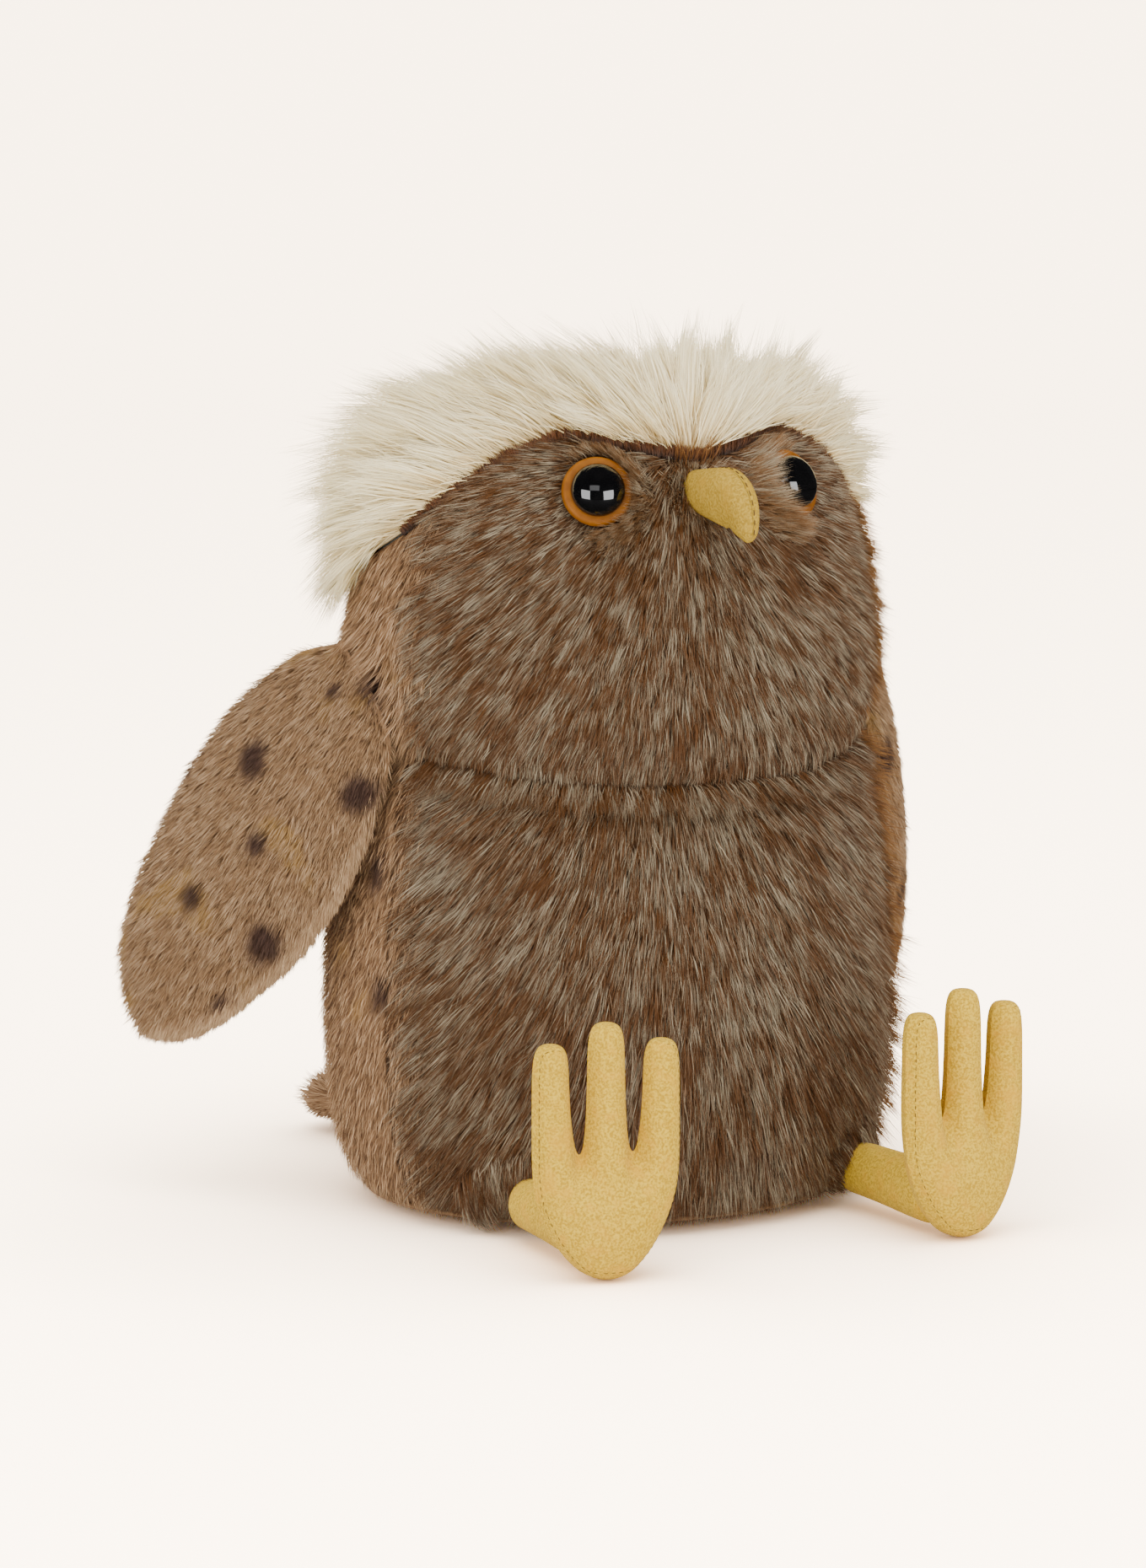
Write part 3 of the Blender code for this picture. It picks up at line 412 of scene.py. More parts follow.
def outward_sum(places: Array, quads: Array) -> float:
    """How far the faces look away from the middle of the points, above 0 when they look outward."""
    a, b, c, d = (places[quads[:, i]] for i in range(4))
    normals = np.cross(c - a, d - b)
    centres = (a + b + c + d) / 4.0 - places.mean(0)
    return float((normals * centres).sum())


def wall(piece: Piece, thickness: float) -> Piece:
    """Give a cloth surface its thickness, on the inner side."""
    shell = piece.modifiers.new("wall", "SOLIDIFY")
    shell.thickness = thickness
    shell.offset = -1.0
    return piece


def label(piece: Piece, node: str | None = None) -> None:
    """Hide the CAD node that a piece replaces, and log how many faces the piece has.

    Args:
        piece: The piece, with its mesh final.
        node: CAD node that it replaces.
    """
    if node is not None:
        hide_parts(node)
    LOG.info("%s: %d faces", piece.name, len(piece.data.polygons))


def settle(piece: Piece, body: str = "trunk", node: str | None = None) -> None:
    """Let a piece move with a body, and label it."""
    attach(piece, body)
    label(piece, node)


# Patches and pile


PLACE, NORMAL, FLOW = slice(0, 3), slice(3, 6), slice(6, 9)
LENGTH, MASK, DENSITY, LEAN = range(9, 13)


@dataclass
class Patch:
    """Grid on a surface: place, outward normal, lie of the pile, length, mask, density and added lean."""

    fields: Array

    @classmethod
    def make(cls, points: Array, normals: Array, flow: Array, length: Array = 1.0,
             mask: Array = 0.0, density: Array = 1.0, lean: Array = 0.0) -> "Patch":
        """Gather the fields, with the lie of the pile laid into the surface."""
        flow = unit(flow - (flow * normals).sum(-1, keepdims=True) * normals)
        shape = points.shape[:2]
        rest = [np.broadcast_to(value, shape)[..., None] for value in (length, mask, density, lean)]
        return cls(np.concatenate([points, normals, flow, *rest], -1))

    def read(self, u: Array, v: Array) -> Array:
        """Fields at shares u across and v up the grid, straight between the four neighbours."""
        rows, columns = self.fields.shape[:2]
        x, y = np.clip(u, 0.0, 1.0) * (columns - 1), np.clip(v, 0.0, 1.0) * (rows - 1)
        c, r = np.minimum(x.astype(int), columns - 2), np.minimum(y.astype(int), rows - 2)
        s, t = (x - c)[:, None], (y - r)[:, None]
        low = mix(self.fields[r, c], self.fields[r, c + 1], s)
        high = mix(self.fields[r + 1, c], self.fields[r + 1, c + 1], s)
        return mix(low, high, t)

    def scatter(self, count: int, rng: np.random.Generator) -> tuple[Array, Array]:
        """Places for roots, spread evenly over the surface's area.

        Args:
            count: How many.
            rng: Source of the random shares.

        Returns:
            Shares across and up the grid.
        """
        places, density = self.fields[..., PLACE], self.fields[..., DENSITY]
        across = places[:-1, 1:] - places[:-1, :-1]
        up = places[1:, :-1] - places[:-1, :-1]
        area = np.linalg.norm(np.cross(across, up), axis=-1) * density[:-1, :-1]
        total = np.cumsum(area.ravel())
        chosen = np.searchsorted(total, (np.arange(count) + rng.random(count)) / count * total[-1])
        rows, columns = area.shape
        chosen = np.minimum(chosen, rows * columns - 1)
        u = (chosen % columns + rng.random(count)) / columns
        v = (chosen // columns + rng.random(count)) / rows
        return u, v

    def lattice(self, spacing: float, rng: np.random.Generator) -> Array:
        """Middles of the locks: a grid at the spacing, each point moved at random within its cell."""
        places = self.fields[..., PLACE]
        wide = np.linalg.norm(np.diff(places, axis=1), axis=-1).sum(1).mean()
        tall = np.linalg.norm(np.diff(places, axis=0), axis=-1).sum(0).mean()
        columns, rows = max(int(wide / spacing), 2), max(int(tall / spacing), 2)
        u = (np.arange(columns)[None, :] + rng.uniform(0.1, 0.9, (rows, columns))) / columns
        v = (np.arange(rows)[:, None] + rng.uniform(0.1, 0.9, (rows, columns))) / rows
        return self.read(u.ravel(), v.ravel()).reshape(rows, columns, -1)


@dataclass(frozen=True)
class Coat:
    """How a pile grows: lengths in metres, angles in degrees.

    lean is the angle from the normal at the root and at the tip; lock is the spacing of the
    locks, gather how far their tips come together, stray and sway how far each fibre and each
    lock turns aside. levels are the shares of the length at which a ribbon has cross edges.
    """

    fibres: int
    length: float
    width: float
    lean: tuple[float, float]
    lock: float
    gather: float
    stray: float
    sway: float
    seed: int
    levels: tuple[float, ...] = (0.0, 0.5)
    droop: float = 0.0
    lock_lift: float = 6.0
    uneven: float = 0.13
    lock_share: float = 0.65
    lift: float = 5.0
    twist: float = 0.9
    taper: float = 0.45
    lengths: tuple[float, float] = (0.72, 1.08)
    widths: tuple[float, float] = (0.7, 1.25)

    def on(self, side: Side) -> "Coat":
        """The same coat with the side's own random draws."""
        return replace(self, seed=self.seed * 10 + int(side.sign))


def turn_about(vectors: Array, axes: Array, angles: Array) -> Array:
    """Turn vectors that lie across their axes by angles."""
    return vectors * np.cos(angles)[:, None] + np.cross(axes, vectors) * np.sin(angles)[:, None]


def fibre_line(roots: Array, normals: Array, flows: Array, lengths: Array, leans: Array, droop: float,
               levels: Array) -> Array:
    """Points along fibres, whose direction goes evenly from the root's to the tip's.

    Args:
        roots: Places of the roots.
        normals: Outward normals there.
        flows: Lie of the pile there.
        lengths: Length of each fibre.
        leans: Angle from the normal at root and tip, two columns.
        droop: How far the tips sag, as a share of the length.
        levels: Shares of the length to give points for.

    Returns:
        Points, fibres by levels.
    """
    first, last = (normals * np.cos(leans[:, i, None]) + flows * np.sin(leans[:, i, None]) for i in (0, 1))
    far = lengths[:, None, None] * levels[None, :, None]
    bend = levels[None, :, None] / 2.0
    line = roots[:, None] + far * (first[:, None] * (1.0 - bend) + last[:, None] * bend)
    return line - far * levels[None, :, None] * droop * UP


def nearest_locks(own: Array, u: Array, v: Array, lattice: Array) -> Array:
    """Number of the lock whose middle is nearest to each root, among the cells round it."""
    rows, columns = lattice.shape[:2]
    steps = np.array([(i, j) for i in (-1, 0, 1) for j in (-1, 0, 1)])
    near_r = np.clip((v * rows).astype(int)[:, None] + steps[:, 0], 0, rows - 1)
    near_c = np.clip((u * columns).astype(int)[:, None] + steps[:, 1], 0, columns - 1)
    best = np.linalg.norm(lattice[near_r, near_c, PLACE] - own[:, None, PLACE], axis=-1).argmin(1)
    number = np.arange(len(own))
    return near_r[number, best] * columns + near_c[number, best]


def grow(name: str, patch: Patch, coat: Coat, finish: Material) -> Piece:
    """Grow a pile on a patch, as one mesh of tapering ribbons.

    Each fibre belongs to the nearest lock, and its points go towards the lock's middle line by
    the power 1.5 of their share of the length. Its place on the map is a cell of a square.

    Args:
        name: Name of the piece.
        patch: Surface that carries the roots.
        coat: How the pile grows.
        finish: Material.

    Returns:
        The object.
    """
    rng = np.random.default_rng(coat.seed)
    count, levels = coat.fibres, np.array(coat.levels + (1.0,))
    far = levels[None, :, None]
    u, v = patch.scatter(count, rng)
    own = patch.read(u, v)
    roots, normals = own[:, PLACE], own[:, NORMAL]
    lattice = patch.lattice(coat.lock, rng)
    chosen = nearest_locks(own, u, v, lattice)
    locks = lattice.reshape(-1, lattice.shape[-1])
    sway = np.radians(coat.sway) * rng.normal(size=len(locks))
    lift = np.radians(coat.lock_lift) * rng.normal(size=len(locks))
    shade = rng.random(len(locks))
    reach = rng.uniform(1.0 - coat.uneven, 1.0 + coat.uneven, len(locks))
    gather = coat.gather * rng.uniform(0.5, 1.0, len(locks))
    lock_flow = turn_about(locks[:, FLOW], locks[:, NORMAL], sway)
    lengths = coat.length * own[:, LENGTH] * reach[chosen] * rng.uniform(*coat.lengths, count)
    stray = np.radians(coat.stray) * rng.normal(size=count)
    flow = unit(own[:, FLOW] * (1.0 - coat.lock_share) + lock_flow[chosen] * coat.lock_share)
    flow = unit(flow - (flow * normals).sum(-1, keepdims=True) * normals)
    flow = turn_about(flow, normals, stray)
    leans = np.radians(np.array(coat.lean)) + lift[chosen][:, None]
    tilt = leans + own[:, LEAN, None] + np.radians(coat.lift) * rng.normal(size=(count, 1))
    line = fibre_line(roots, normals, flow, lengths, tilt, coat.droop, levels)
    middle = fibre_line(locks[chosen, PLACE], locks[chosen, NORMAL], lock_flow[chosen], lengths,
                        leans + locks[chosen, LEAN, None], coat.droop, levels)
    line = mix(line, middle, gather[chosen][:, None, None] * far ** 1.5)
    way = unit(np.gradient(line, axis=1))
    aside = unit(np.cross(way, normals[:, None]))
    twist = rng.uniform(-coat.twist, coat.twist, count)[:, None, None]
    aside = unit(aside * np.cos(twist) + np.cross(way, aside) * np.sin(twist))
    widths = rng.uniform(*coat.widths, count)[:, None, None]
    half = coat.width / 2.0 * widths * (1.0 - coat.taper * far)
    pairs = len(coat.levels)
    size = 2 * pairs + 1
    points = np.empty((count, size, 3))
    points[:, 0:-1:2] = (line - aside * half)[:, :-1]
    points[:, 1:-1:2] = (line + aside * half)[:, :-1]
    points[:, -1] = line[:, -1]
    points[..., 2] = np.maximum(points[..., 2], FLOOR_CLEARANCE)
    points[..., 2] -= PILE_SQUEEZE * np.maximum(points[..., 2] - PILE_TOP, 0.0)
    quad = np.arange(pairs - 1)[:, None] * 2 + np.array([0, 1, 3, 2])
    pattern = np.concatenate([quad.ravel(), [size - 3, size - 2, size - 1]])
    number = np.arange(count)
    loops = (number[:, None] * size + pattern).ravel()
    totals = np.tile(np.array([4] * (pairs - 1) + [3]), count)
    share = np.concatenate([np.repeat(levels[:-1], 2), [1.0]])
    shades = (rng.random(count)[:, None], shade[chosen][:, None], own[:, MASK, None])
    hair = np.stack(np.broadcast_arrays(share, *shades), -1)
    side = np.concatenate([np.tile([0.2, 0.8], pairs), [0.5]])
    cells = math.ceil(math.sqrt(count))
    cell = np.stack([number % cells, number // cells], -1)[:, None]
    uv = (cell + np.stack([side, 0.1 + 0.8 * share], -1)[pattern]) / cells
    uv, hair = uv.reshape(-1, 2), hair.reshape(-1, 4)
    return lay_mesh(name, points.reshape(-1, 3), loops, totals, finish, uv, hair)


def cover(name: str, patch: Patch, coat: Coat, finish: Material, body: str = "trunk") -> None:
    """Grow a pile that moves with a body."""
    settle(grow(name, patch, coat, finish), body)


def cover_halves(name: str, patch: Patch, coat: Coat, finish: Material) -> None:
    """Grow a pile as two pieces, the patch's first and second half, which keeps each piece small."""
    middle = patch.fields.shape[1] // 2
    for number, (side, part) in enumerate(zip(Side, (slice(0, middle + 1), slice(middle, None)))):
        own = replace(coat, seed=coat.seed * 10 + number)
        cover(f"{name}_{side.word}", Patch(patch.fields[:, part]), own, finish)


@dataclass
class Sheet:
    """Even grid at a depth under a form's surface, with the unit directions across and up it."""

    azimuth: Array
    along: Array
    points: Array
    normals: Array
    across: Array
    up: Array

    @classmethod
    def on(cls, form: Form, span: tuple[float, float], edges: tuple[Edge, Edge], size: tuple[int, int],
           depth: float) -> "Sheet":
        """Lay a sheet on a form.

        Args:
            form: The form.
            span: First and last azimuth.
            edges: Outline shares of the lower and the upper edge, or what gives them by azimuth.
            size: Columns and rows.
            depth: Depth under the surface.

        Returns:
            The sheet.
        """
        azimuth = np.broadcast_to(np.linspace(*span, size[0]), size[::-1])
        low, high = (edge(azimuth) if callable(edge) else np.full(azimuth.shape, edge) for edge in edges)
        along = mix(low, high, np.linspace(0.0, 1.0, size[1])[:, None])
        ways = [unit(way) for way in form.tangents(azimuth, along, WAY_STEP)]
        return cls(azimuth, along, form.point(azimuth, along, depth), form.normal(azimuth, along), *ways)

    def lie(self, up: float, across: Array = 0.0) -> Array:
        """Direction of a pile, by its shares up and across."""
        return self.up * up + self.across * np.asarray(across)[..., None]

    def patch(self, flow: Array, length: Array = 1.0, mask: Array = 0.0, density: Array = 1.0,
              lean: Array = 0.0) -> Patch:
        """Patch for a pile on the sheet."""
        return Patch.make(self.points, self.normals, flow, length, mask, density, lean)


def disc_grid(count: int) -> tuple[Array, Array]:
    """Turn and reach of a square grid drawn into a disc, each side bowed out to the rim."""
    u, v = np.meshgrid(np.linspace(-1.0, 1.0, count), np.linspace(-1.0, 1.0, count))
    x, y = u * np.sqrt(1.0 - v * v / 2.0), v * np.sqrt(1.0 - u * u / 2.0)
    return np.arctan2(x, -y), np.minimum(np.hypot(x, y), 1.0)


@dataclass(frozen=True)
class Spots:
    """Dark spots of a cloth: their middles, own sizes, and half width and half height of a spot of size 1."""

    middles: Array
    sizes: Array
    wide: float = 3.6 * MM
    tall: float = 5.4 * MM

    def mask(self, points: Array, up: Array) -> Array:
        """Share of the spot colour at points, from 1 inside a spot to 0 outside.

        Args:
            points: Places on the cloth.
            up: Direction of the spots' long side.

        Returns:
            The shares.
        """
        shape = points.shape[:-1]
        away = points.reshape(-1, 1, 3) - self.middles[None]
        rise = (away * up).sum(-1)
        aside = np.sqrt(np.maximum((away ** 2).sum(-1) - rise ** 2, 0.0))
        far = (np.hypot(aside / self.wide, rise / self.tall) / self.sizes).min(1)
        return (1.0 - ease(0.5, 1.3, far)).reshape(shape)


def lay_cloth(name: str, points: Array, finish: Material, node: str, body: str = "trunk",
              mask: Array | None = None, thickness: float = 1.0 * MM,
              every: int = 2) -> None:
    """Lay a panel's cloth, with its wall and its spots.

    Args:
        name: Name of the piece.
        points: Grid of points.
        finish: Material.
        node: CAD node that it replaces.
        body: Body that it moves with.
        mask: Share of the spots' colour at each point.
        thickness: Thickness of the cloth.
        every: Use every line of the grid, or every second one.
    """
    mask = np.zeros(points.shape[:2]) if mask is None else mask
    hair = np.stack(np.broadcast_arrays(0.3, 0.5, 0.5, mask[::every, ::every]), -1)
    piece = grid_piece(name, points[::every, ::every], finish, hair=hair)
    settle(wall(piece, thickness), body, node)


# Materials


class Tree:
    """Short way to lay nodes in a material or in a group."""

    def __init__(self, tree: bpy.types.NodeTree) -> None:
        """Work in a node tree."""
        self.tree = tree

    def put(self, value: object, end: Socket) -> None:
        """Put a socket's output or a plain value into an input."""
        if isinstance(value, Socket):
            self.tree.links.new(value, end)
        else:
            end.default_value = value

    def add(self, kind: str, inputs: dict | None = None, **settings: object) -> bpy.types.Node:
        """Add a node.

        Args:
            kind: Blender's name of the node, without ShaderNode.
            inputs: Values or sockets by the name or number of the input.
            settings: Properties of the node.

        Returns:
            The node.
        """
        node = self.tree.nodes.new(kind if kind.startswith("NodeGroup") else "ShaderNode" + kind)
        for name, value in settings.items():
            setattr(node, name, value)
        for name, value in (inputs or {}).items():
            self.put(value, node.inputs[name])
        return node

    def mix(self, share: object, one: object, two: object, blend: str = "MIX") -> Socket:
        """Mix two colours by a share."""
        one, two = (value if isinstance(value, Socket) else (*value[:3], 1.0) for value in (one, two))
        return self.add("Mix", {0: share, 6: one, 7: two}, data_type="RGBA", blend_type=blend).outputs[2]

    def ease(self, value: object, low: object, high: object, start: float = 0.0, end: float = 1.0) -> Socket:
        """Map a value softly from low..high to start..end."""
        inputs = {0: value, 1: low, 2: high, 3: start, 4: end}
        return self.add("MapRange", inputs, interpolation_type="SMOOTHSTEP").outputs[0]

    def maths(self, operation: str, one: object, two: object = 0.0) -> Socket:
        """Do a sum with one or two values."""
        return self.add("Math", {0: one, 1: two}, operation=operation).outputs[0]

    def own_places(self) -> Socket:
        """Places on the piece itself, which move with it."""
        return self.add("TexCoord").outputs["Object"]

    def noise(self, scale: object, detail: float = 2.0) -> Socket:
        """Noise with as many grains to the metre as its scale."""
        inputs = {"Vector": self.own_places(), "Scale": scale, "Detail": detail}
        return self.add("TexNoise", inputs).outputs[0]


def linear(colour: Colour) -> tuple[float, float, float, float]:
    """Linear colour of an 8-bit screen colour."""
    shares = [value / 255.0 for value in colour]
    return (*[s / 12.92 if s <= 0.04045 else ((s + 0.055) / 1.055) ** 2.4 for s in shares], 1.0)


GREY = ("Color", (0.5, 0.5, 0.5, 1.0))


def new_group(name: str, inputs: dict[str, tuple[str, object]],
              *outputs: tuple[str, str]) -> tuple[Tree, dict]:
    """Start a node group with named inputs and outputs.

    Args:
        name: Name of the group.
        inputs: Kind of socket and value by name.
        outputs: Names and kinds of the outputs.

    Returns:
        The group's tree, and the sockets of its inputs by name.
    """
    group = bpy.data.node_groups.new(name, "ShaderNodeTree")
    for word, (kind, value) in inputs.items():
        made = group.interface.new_socket(word, in_out="INPUT", socket_type="NodeSocket" + kind)
        made.default_value = value
    for word, kind in outputs:
        group.interface.new_socket(word, in_out="OUTPUT", socket_type="NodeSocket" + kind)
    tree = Tree(group)
    return tree, tree.add("NodeGroupInput").outputs


@cache
def fibre_tint_group() -> bpy.types.NodeTree:
    """Group that colours a pile: root, body and frosted tip, lock by lock, with spots."""
    tree, source = new_group("fibre_tint", {
        **dict.fromkeys(("Root", "Body", "Tip", "Spot", "Patch"), GREY),
        "Frost From": ("Float", 0.3), "Frost To": ("Float", 0.7), "Tip From": ("Float", 0.35),
        "Patch Grain": ("Float", 0.02), "Patch From": ("Float", 0.5),
    }, ("Colour", "Color"))
    hair = tree.add("Attribute", attribute_name="hair").outputs
    far, fibre, lock = tree.add("SeparateColor", {0: hair["Color"]}).outputs[:3]
    cloud = tree.noise(tree.maths("DIVIDE", 1.0, source["Patch Grain"]))
    base = tree.mix(tree.ease(far, 0.0, 0.55), source["Root"], source["Body"])
    patchy = tree.ease(cloud, source["Patch From"], tree.maths("ADD", source["Patch From"], 0.12))
    base = tree.mix(patchy, base, source["Patch"])
    spread = tree.maths("ADD", tree.maths("MULTIPLY", lock, 0.40), tree.maths("MULTIPLY", fibre, 0.48))
    cloudy = tree.maths("MULTIPLY", tree.maths("SUBTRACT", cloud, 0.5), 0.35)
    frosty = tree.ease(tree.maths("ADD", spread, cloudy), source["Frost From"], source["Frost To"])
    tip = tree.ease(far, source["Tip From"], tree.maths("ADD", source["Tip From"], 0.4))
    base = tree.mix(tree.maths("MULTIPLY", frosty, tip), base, source["Tip"])
    base = tree.mix(tree.maths("MULTIPLY", hair["Alpha"], 0.92), base, source["Spot"])
    light = tree.ease(fibre, 0.0, 1.0, 0.82, 1.14)
    grey = tree.add("CombineColor", dict.fromkeys(range(3), light)).outputs[0]
    tree.add("NodeGroupOutput", {0: tree.mix(1.0, base, grey, "MULTIPLY")})
    return tree.tree


@cache
def nap_group() -> bpy.types.NodeTree:
    """Group that gives a brushed nap its speckle and its fine height."""
    inputs = {"Light": GREY, "Dark": GREY, "Worn": GREY, "Grain": ("Float", 0.0005)}
    tree, source = new_group("brushed_nap", inputs, ("Colour", "Color"), ("Height", "Float"))
    scale = tree.maths("DIVIDE", 1.0, source["Grain"])
    fine, broad = tree.noise(scale, 3.0), tree.noise(tree.maths("MULTIPLY", scale, 0.11), 3.0)
    colour = tree.mix(tree.ease(fine, 0.34, 0.66), source["Dark"], source["Light"])
    colour = tree.mix(tree.ease(broad, 0.48, 0.75, 0.0, 0.55), colour, source["Worn"])
    height = tree.maths("ADD", fine, tree.maths("MULTIPLY", broad, 0.6))
    tree.add("NodeGroupOutput", {0: colour, 1: height})
    return tree.tree


@cache
def weave_group() -> bpy.types.NodeTree:
    """Group that gives a plain weave its threads."""
    inputs = {"Thread": GREY, "Gap": GREY, "Pitch": ("Float", 0.0006)}
    tree, source = new_group("plain_weave", inputs, ("Colour", "Color"), ("Height", "Float"))
    places = tree.add("SeparateXYZ", {0: tree.own_places()}).outputs
    pitch = tree.maths("DIVIDE", FULL_TURN, source["Pitch"])
    sines = [tree.maths("SINE", tree.maths("MULTIPLY", place, pitch)) for place in places]
    waves = [tree.maths("ABSOLUTE", sine) for sine in sines]
    height = tree.maths("MAXIMUM", tree.maths("MAXIMUM", waves[0], waves[1]), waves[2])
    colour = tree.mix(tree.ease(height, 0.55, 1.0), source["Gap"], source["Thread"])
    tree.add("NodeGroupOutput", {0: colour, 1: height})
    return tree.tree


@dataclass(frozen=True)
class Finish:
    """What all the finishes share: names, the gloss, the sheen, the coat and the bump of their shader."""

    name: str
    slot: Slot
    roughness: float = 0.8
    specular: float = 0.5
    sheen: float = 0.0
    coat: float = 0.0
    bump_depth: float = 0.4 * MM
    bump_strength: float = 0.6

    def paint(self, tree: Tree) -> tuple[Socket, Socket | None]:
        """Lay the nodes that give the colour and, where there is one, the height."""
        raise NotImplementedError

    def build(self) -> Material:
        """Make the material."""
        made = bpy.data.materials.new(self.name)
        made.use_nodes = True
        shader, tree = made.node_tree.nodes["Principled BSDF"], Tree(made.node_tree)
        colour, height = self.paint(tree)
        inputs = {"Base Color": colour, "Roughness": self.roughness, "Specular IOR Level": self.specular,
                  "Sheen Weight": self.sheen, "Coat Weight": self.coat, "Coat Roughness": 0.04}
        if height is not None:
            bump = {"Height": height, "Distance": self.bump_depth, "Strength": self.bump_strength}
            inputs["Normal"] = tree.add("Bump", bump).outputs[0]
        for word, value in inputs.items():
            tree.put(value, shader.inputs[word])
        return made


@dataclass(frozen=True)
class FurFinish(Finish):
    """Pile coloured along its fibres, in 8-bit screen colours."""

    root: Colour = (90, 60, 40)
    body: Colour = (120, 80, 50)
    tip: Colour = (160, 145, 130)
    spot: Colour = (60, 38, 32)
    patch: Colour = (120, 80, 50)
    frost: tuple[float, float] = (0.3, 0.7)
    tip_from: float = 0.35
    patch_grain: float = 22.0 * MM
    patch_from: float = 0.6
    cloth: bool = False

    def paint(self, tree: Tree) -> tuple[Socket, Socket | None]:
        """Tint by the group, with a grain where the finish is a cloth's."""
        tint = tree.add("Group", {
            "Root": linear(self.root), "Body": linear(self.body), "Tip": linear(self.tip),
            "Spot": linear(self.spot), "Patch": linear(self.patch), "Frost From": self.frost[0],
            "Frost To": self.frost[1], "Tip From": self.tip_from, "Patch Grain": self.patch_grain,
            "Patch From": self.patch_from}, node_tree=fibre_tint_group())
        return tint.outputs[0], tree.noise(1.0 / (0.5 * MM), 3.0) if self.cloth else None


@dataclass(frozen=True)
class SuedeFinish(Finish):
    """Brushed cloth with a short nap, in 8-bit screen colours."""

    bump_depth: float = 0.35 * MM
    bump_strength: float = 0.8
    light: Colour = (221, 183, 54)
    dark: Colour = (180, 141, 30)
    worn: Colour = (216, 161, 38)
    grain: float = 0.6 * MM

    def paint(self, tree: Tree) -> tuple[Socket, Socket | None]:
        """Colour and height by the group."""
        inputs = {"Light": linear(self.light), "Dark": linear(self.dark), "Worn": linear(self.worn),
                  "Grain": self.grain}
        return tuple(tree.add("Group", inputs, node_tree=nap_group()).outputs)


@dataclass(frozen=True)
class PlasticFinish(Finish):
    """Moulded plastic with faint flow marks, in 8-bit screen colours."""

    bump_depth: float = 0.02 * MM
    bump_strength: float = 0.4
    colour: Colour = (200, 125, 20)
    mark: Colour = (180, 105, 15)
    grain: float = 3.0 * MM

    def paint(self, tree: Tree) -> tuple[Socket, Socket | None]:
        """Colour by broad marks, height by fine ones."""
        marks = tree.ease(tree.noise(1.0 / self.grain, 3.0), 0.35, 0.65)
        return tree.mix(marks, linear(self.mark), linear(self.colour)), tree.noise(1.0 / (self.grain / 6.0))


@dataclass(frozen=True)
class WeaveFinish(Finish):
    """Plain woven cloth, in 8-bit screen colours."""

    bump_depth: float = 0.15 * MM
    thread: Colour = (218, 212, 200)
    gap: Colour = (150, 143, 130)
    pitch: float = 0.9 * MM

    def paint(self, tree: Tree) -> tuple[Socket, Socket | None]:
        """Colour and height by the group."""
        inputs = {"Thread": linear(self.thread), "Gap": linear(self.gap), "Pitch": self.pitch}
        return tuple(tree.add("Group", inputs, node_tree=weave_group()).outputs)


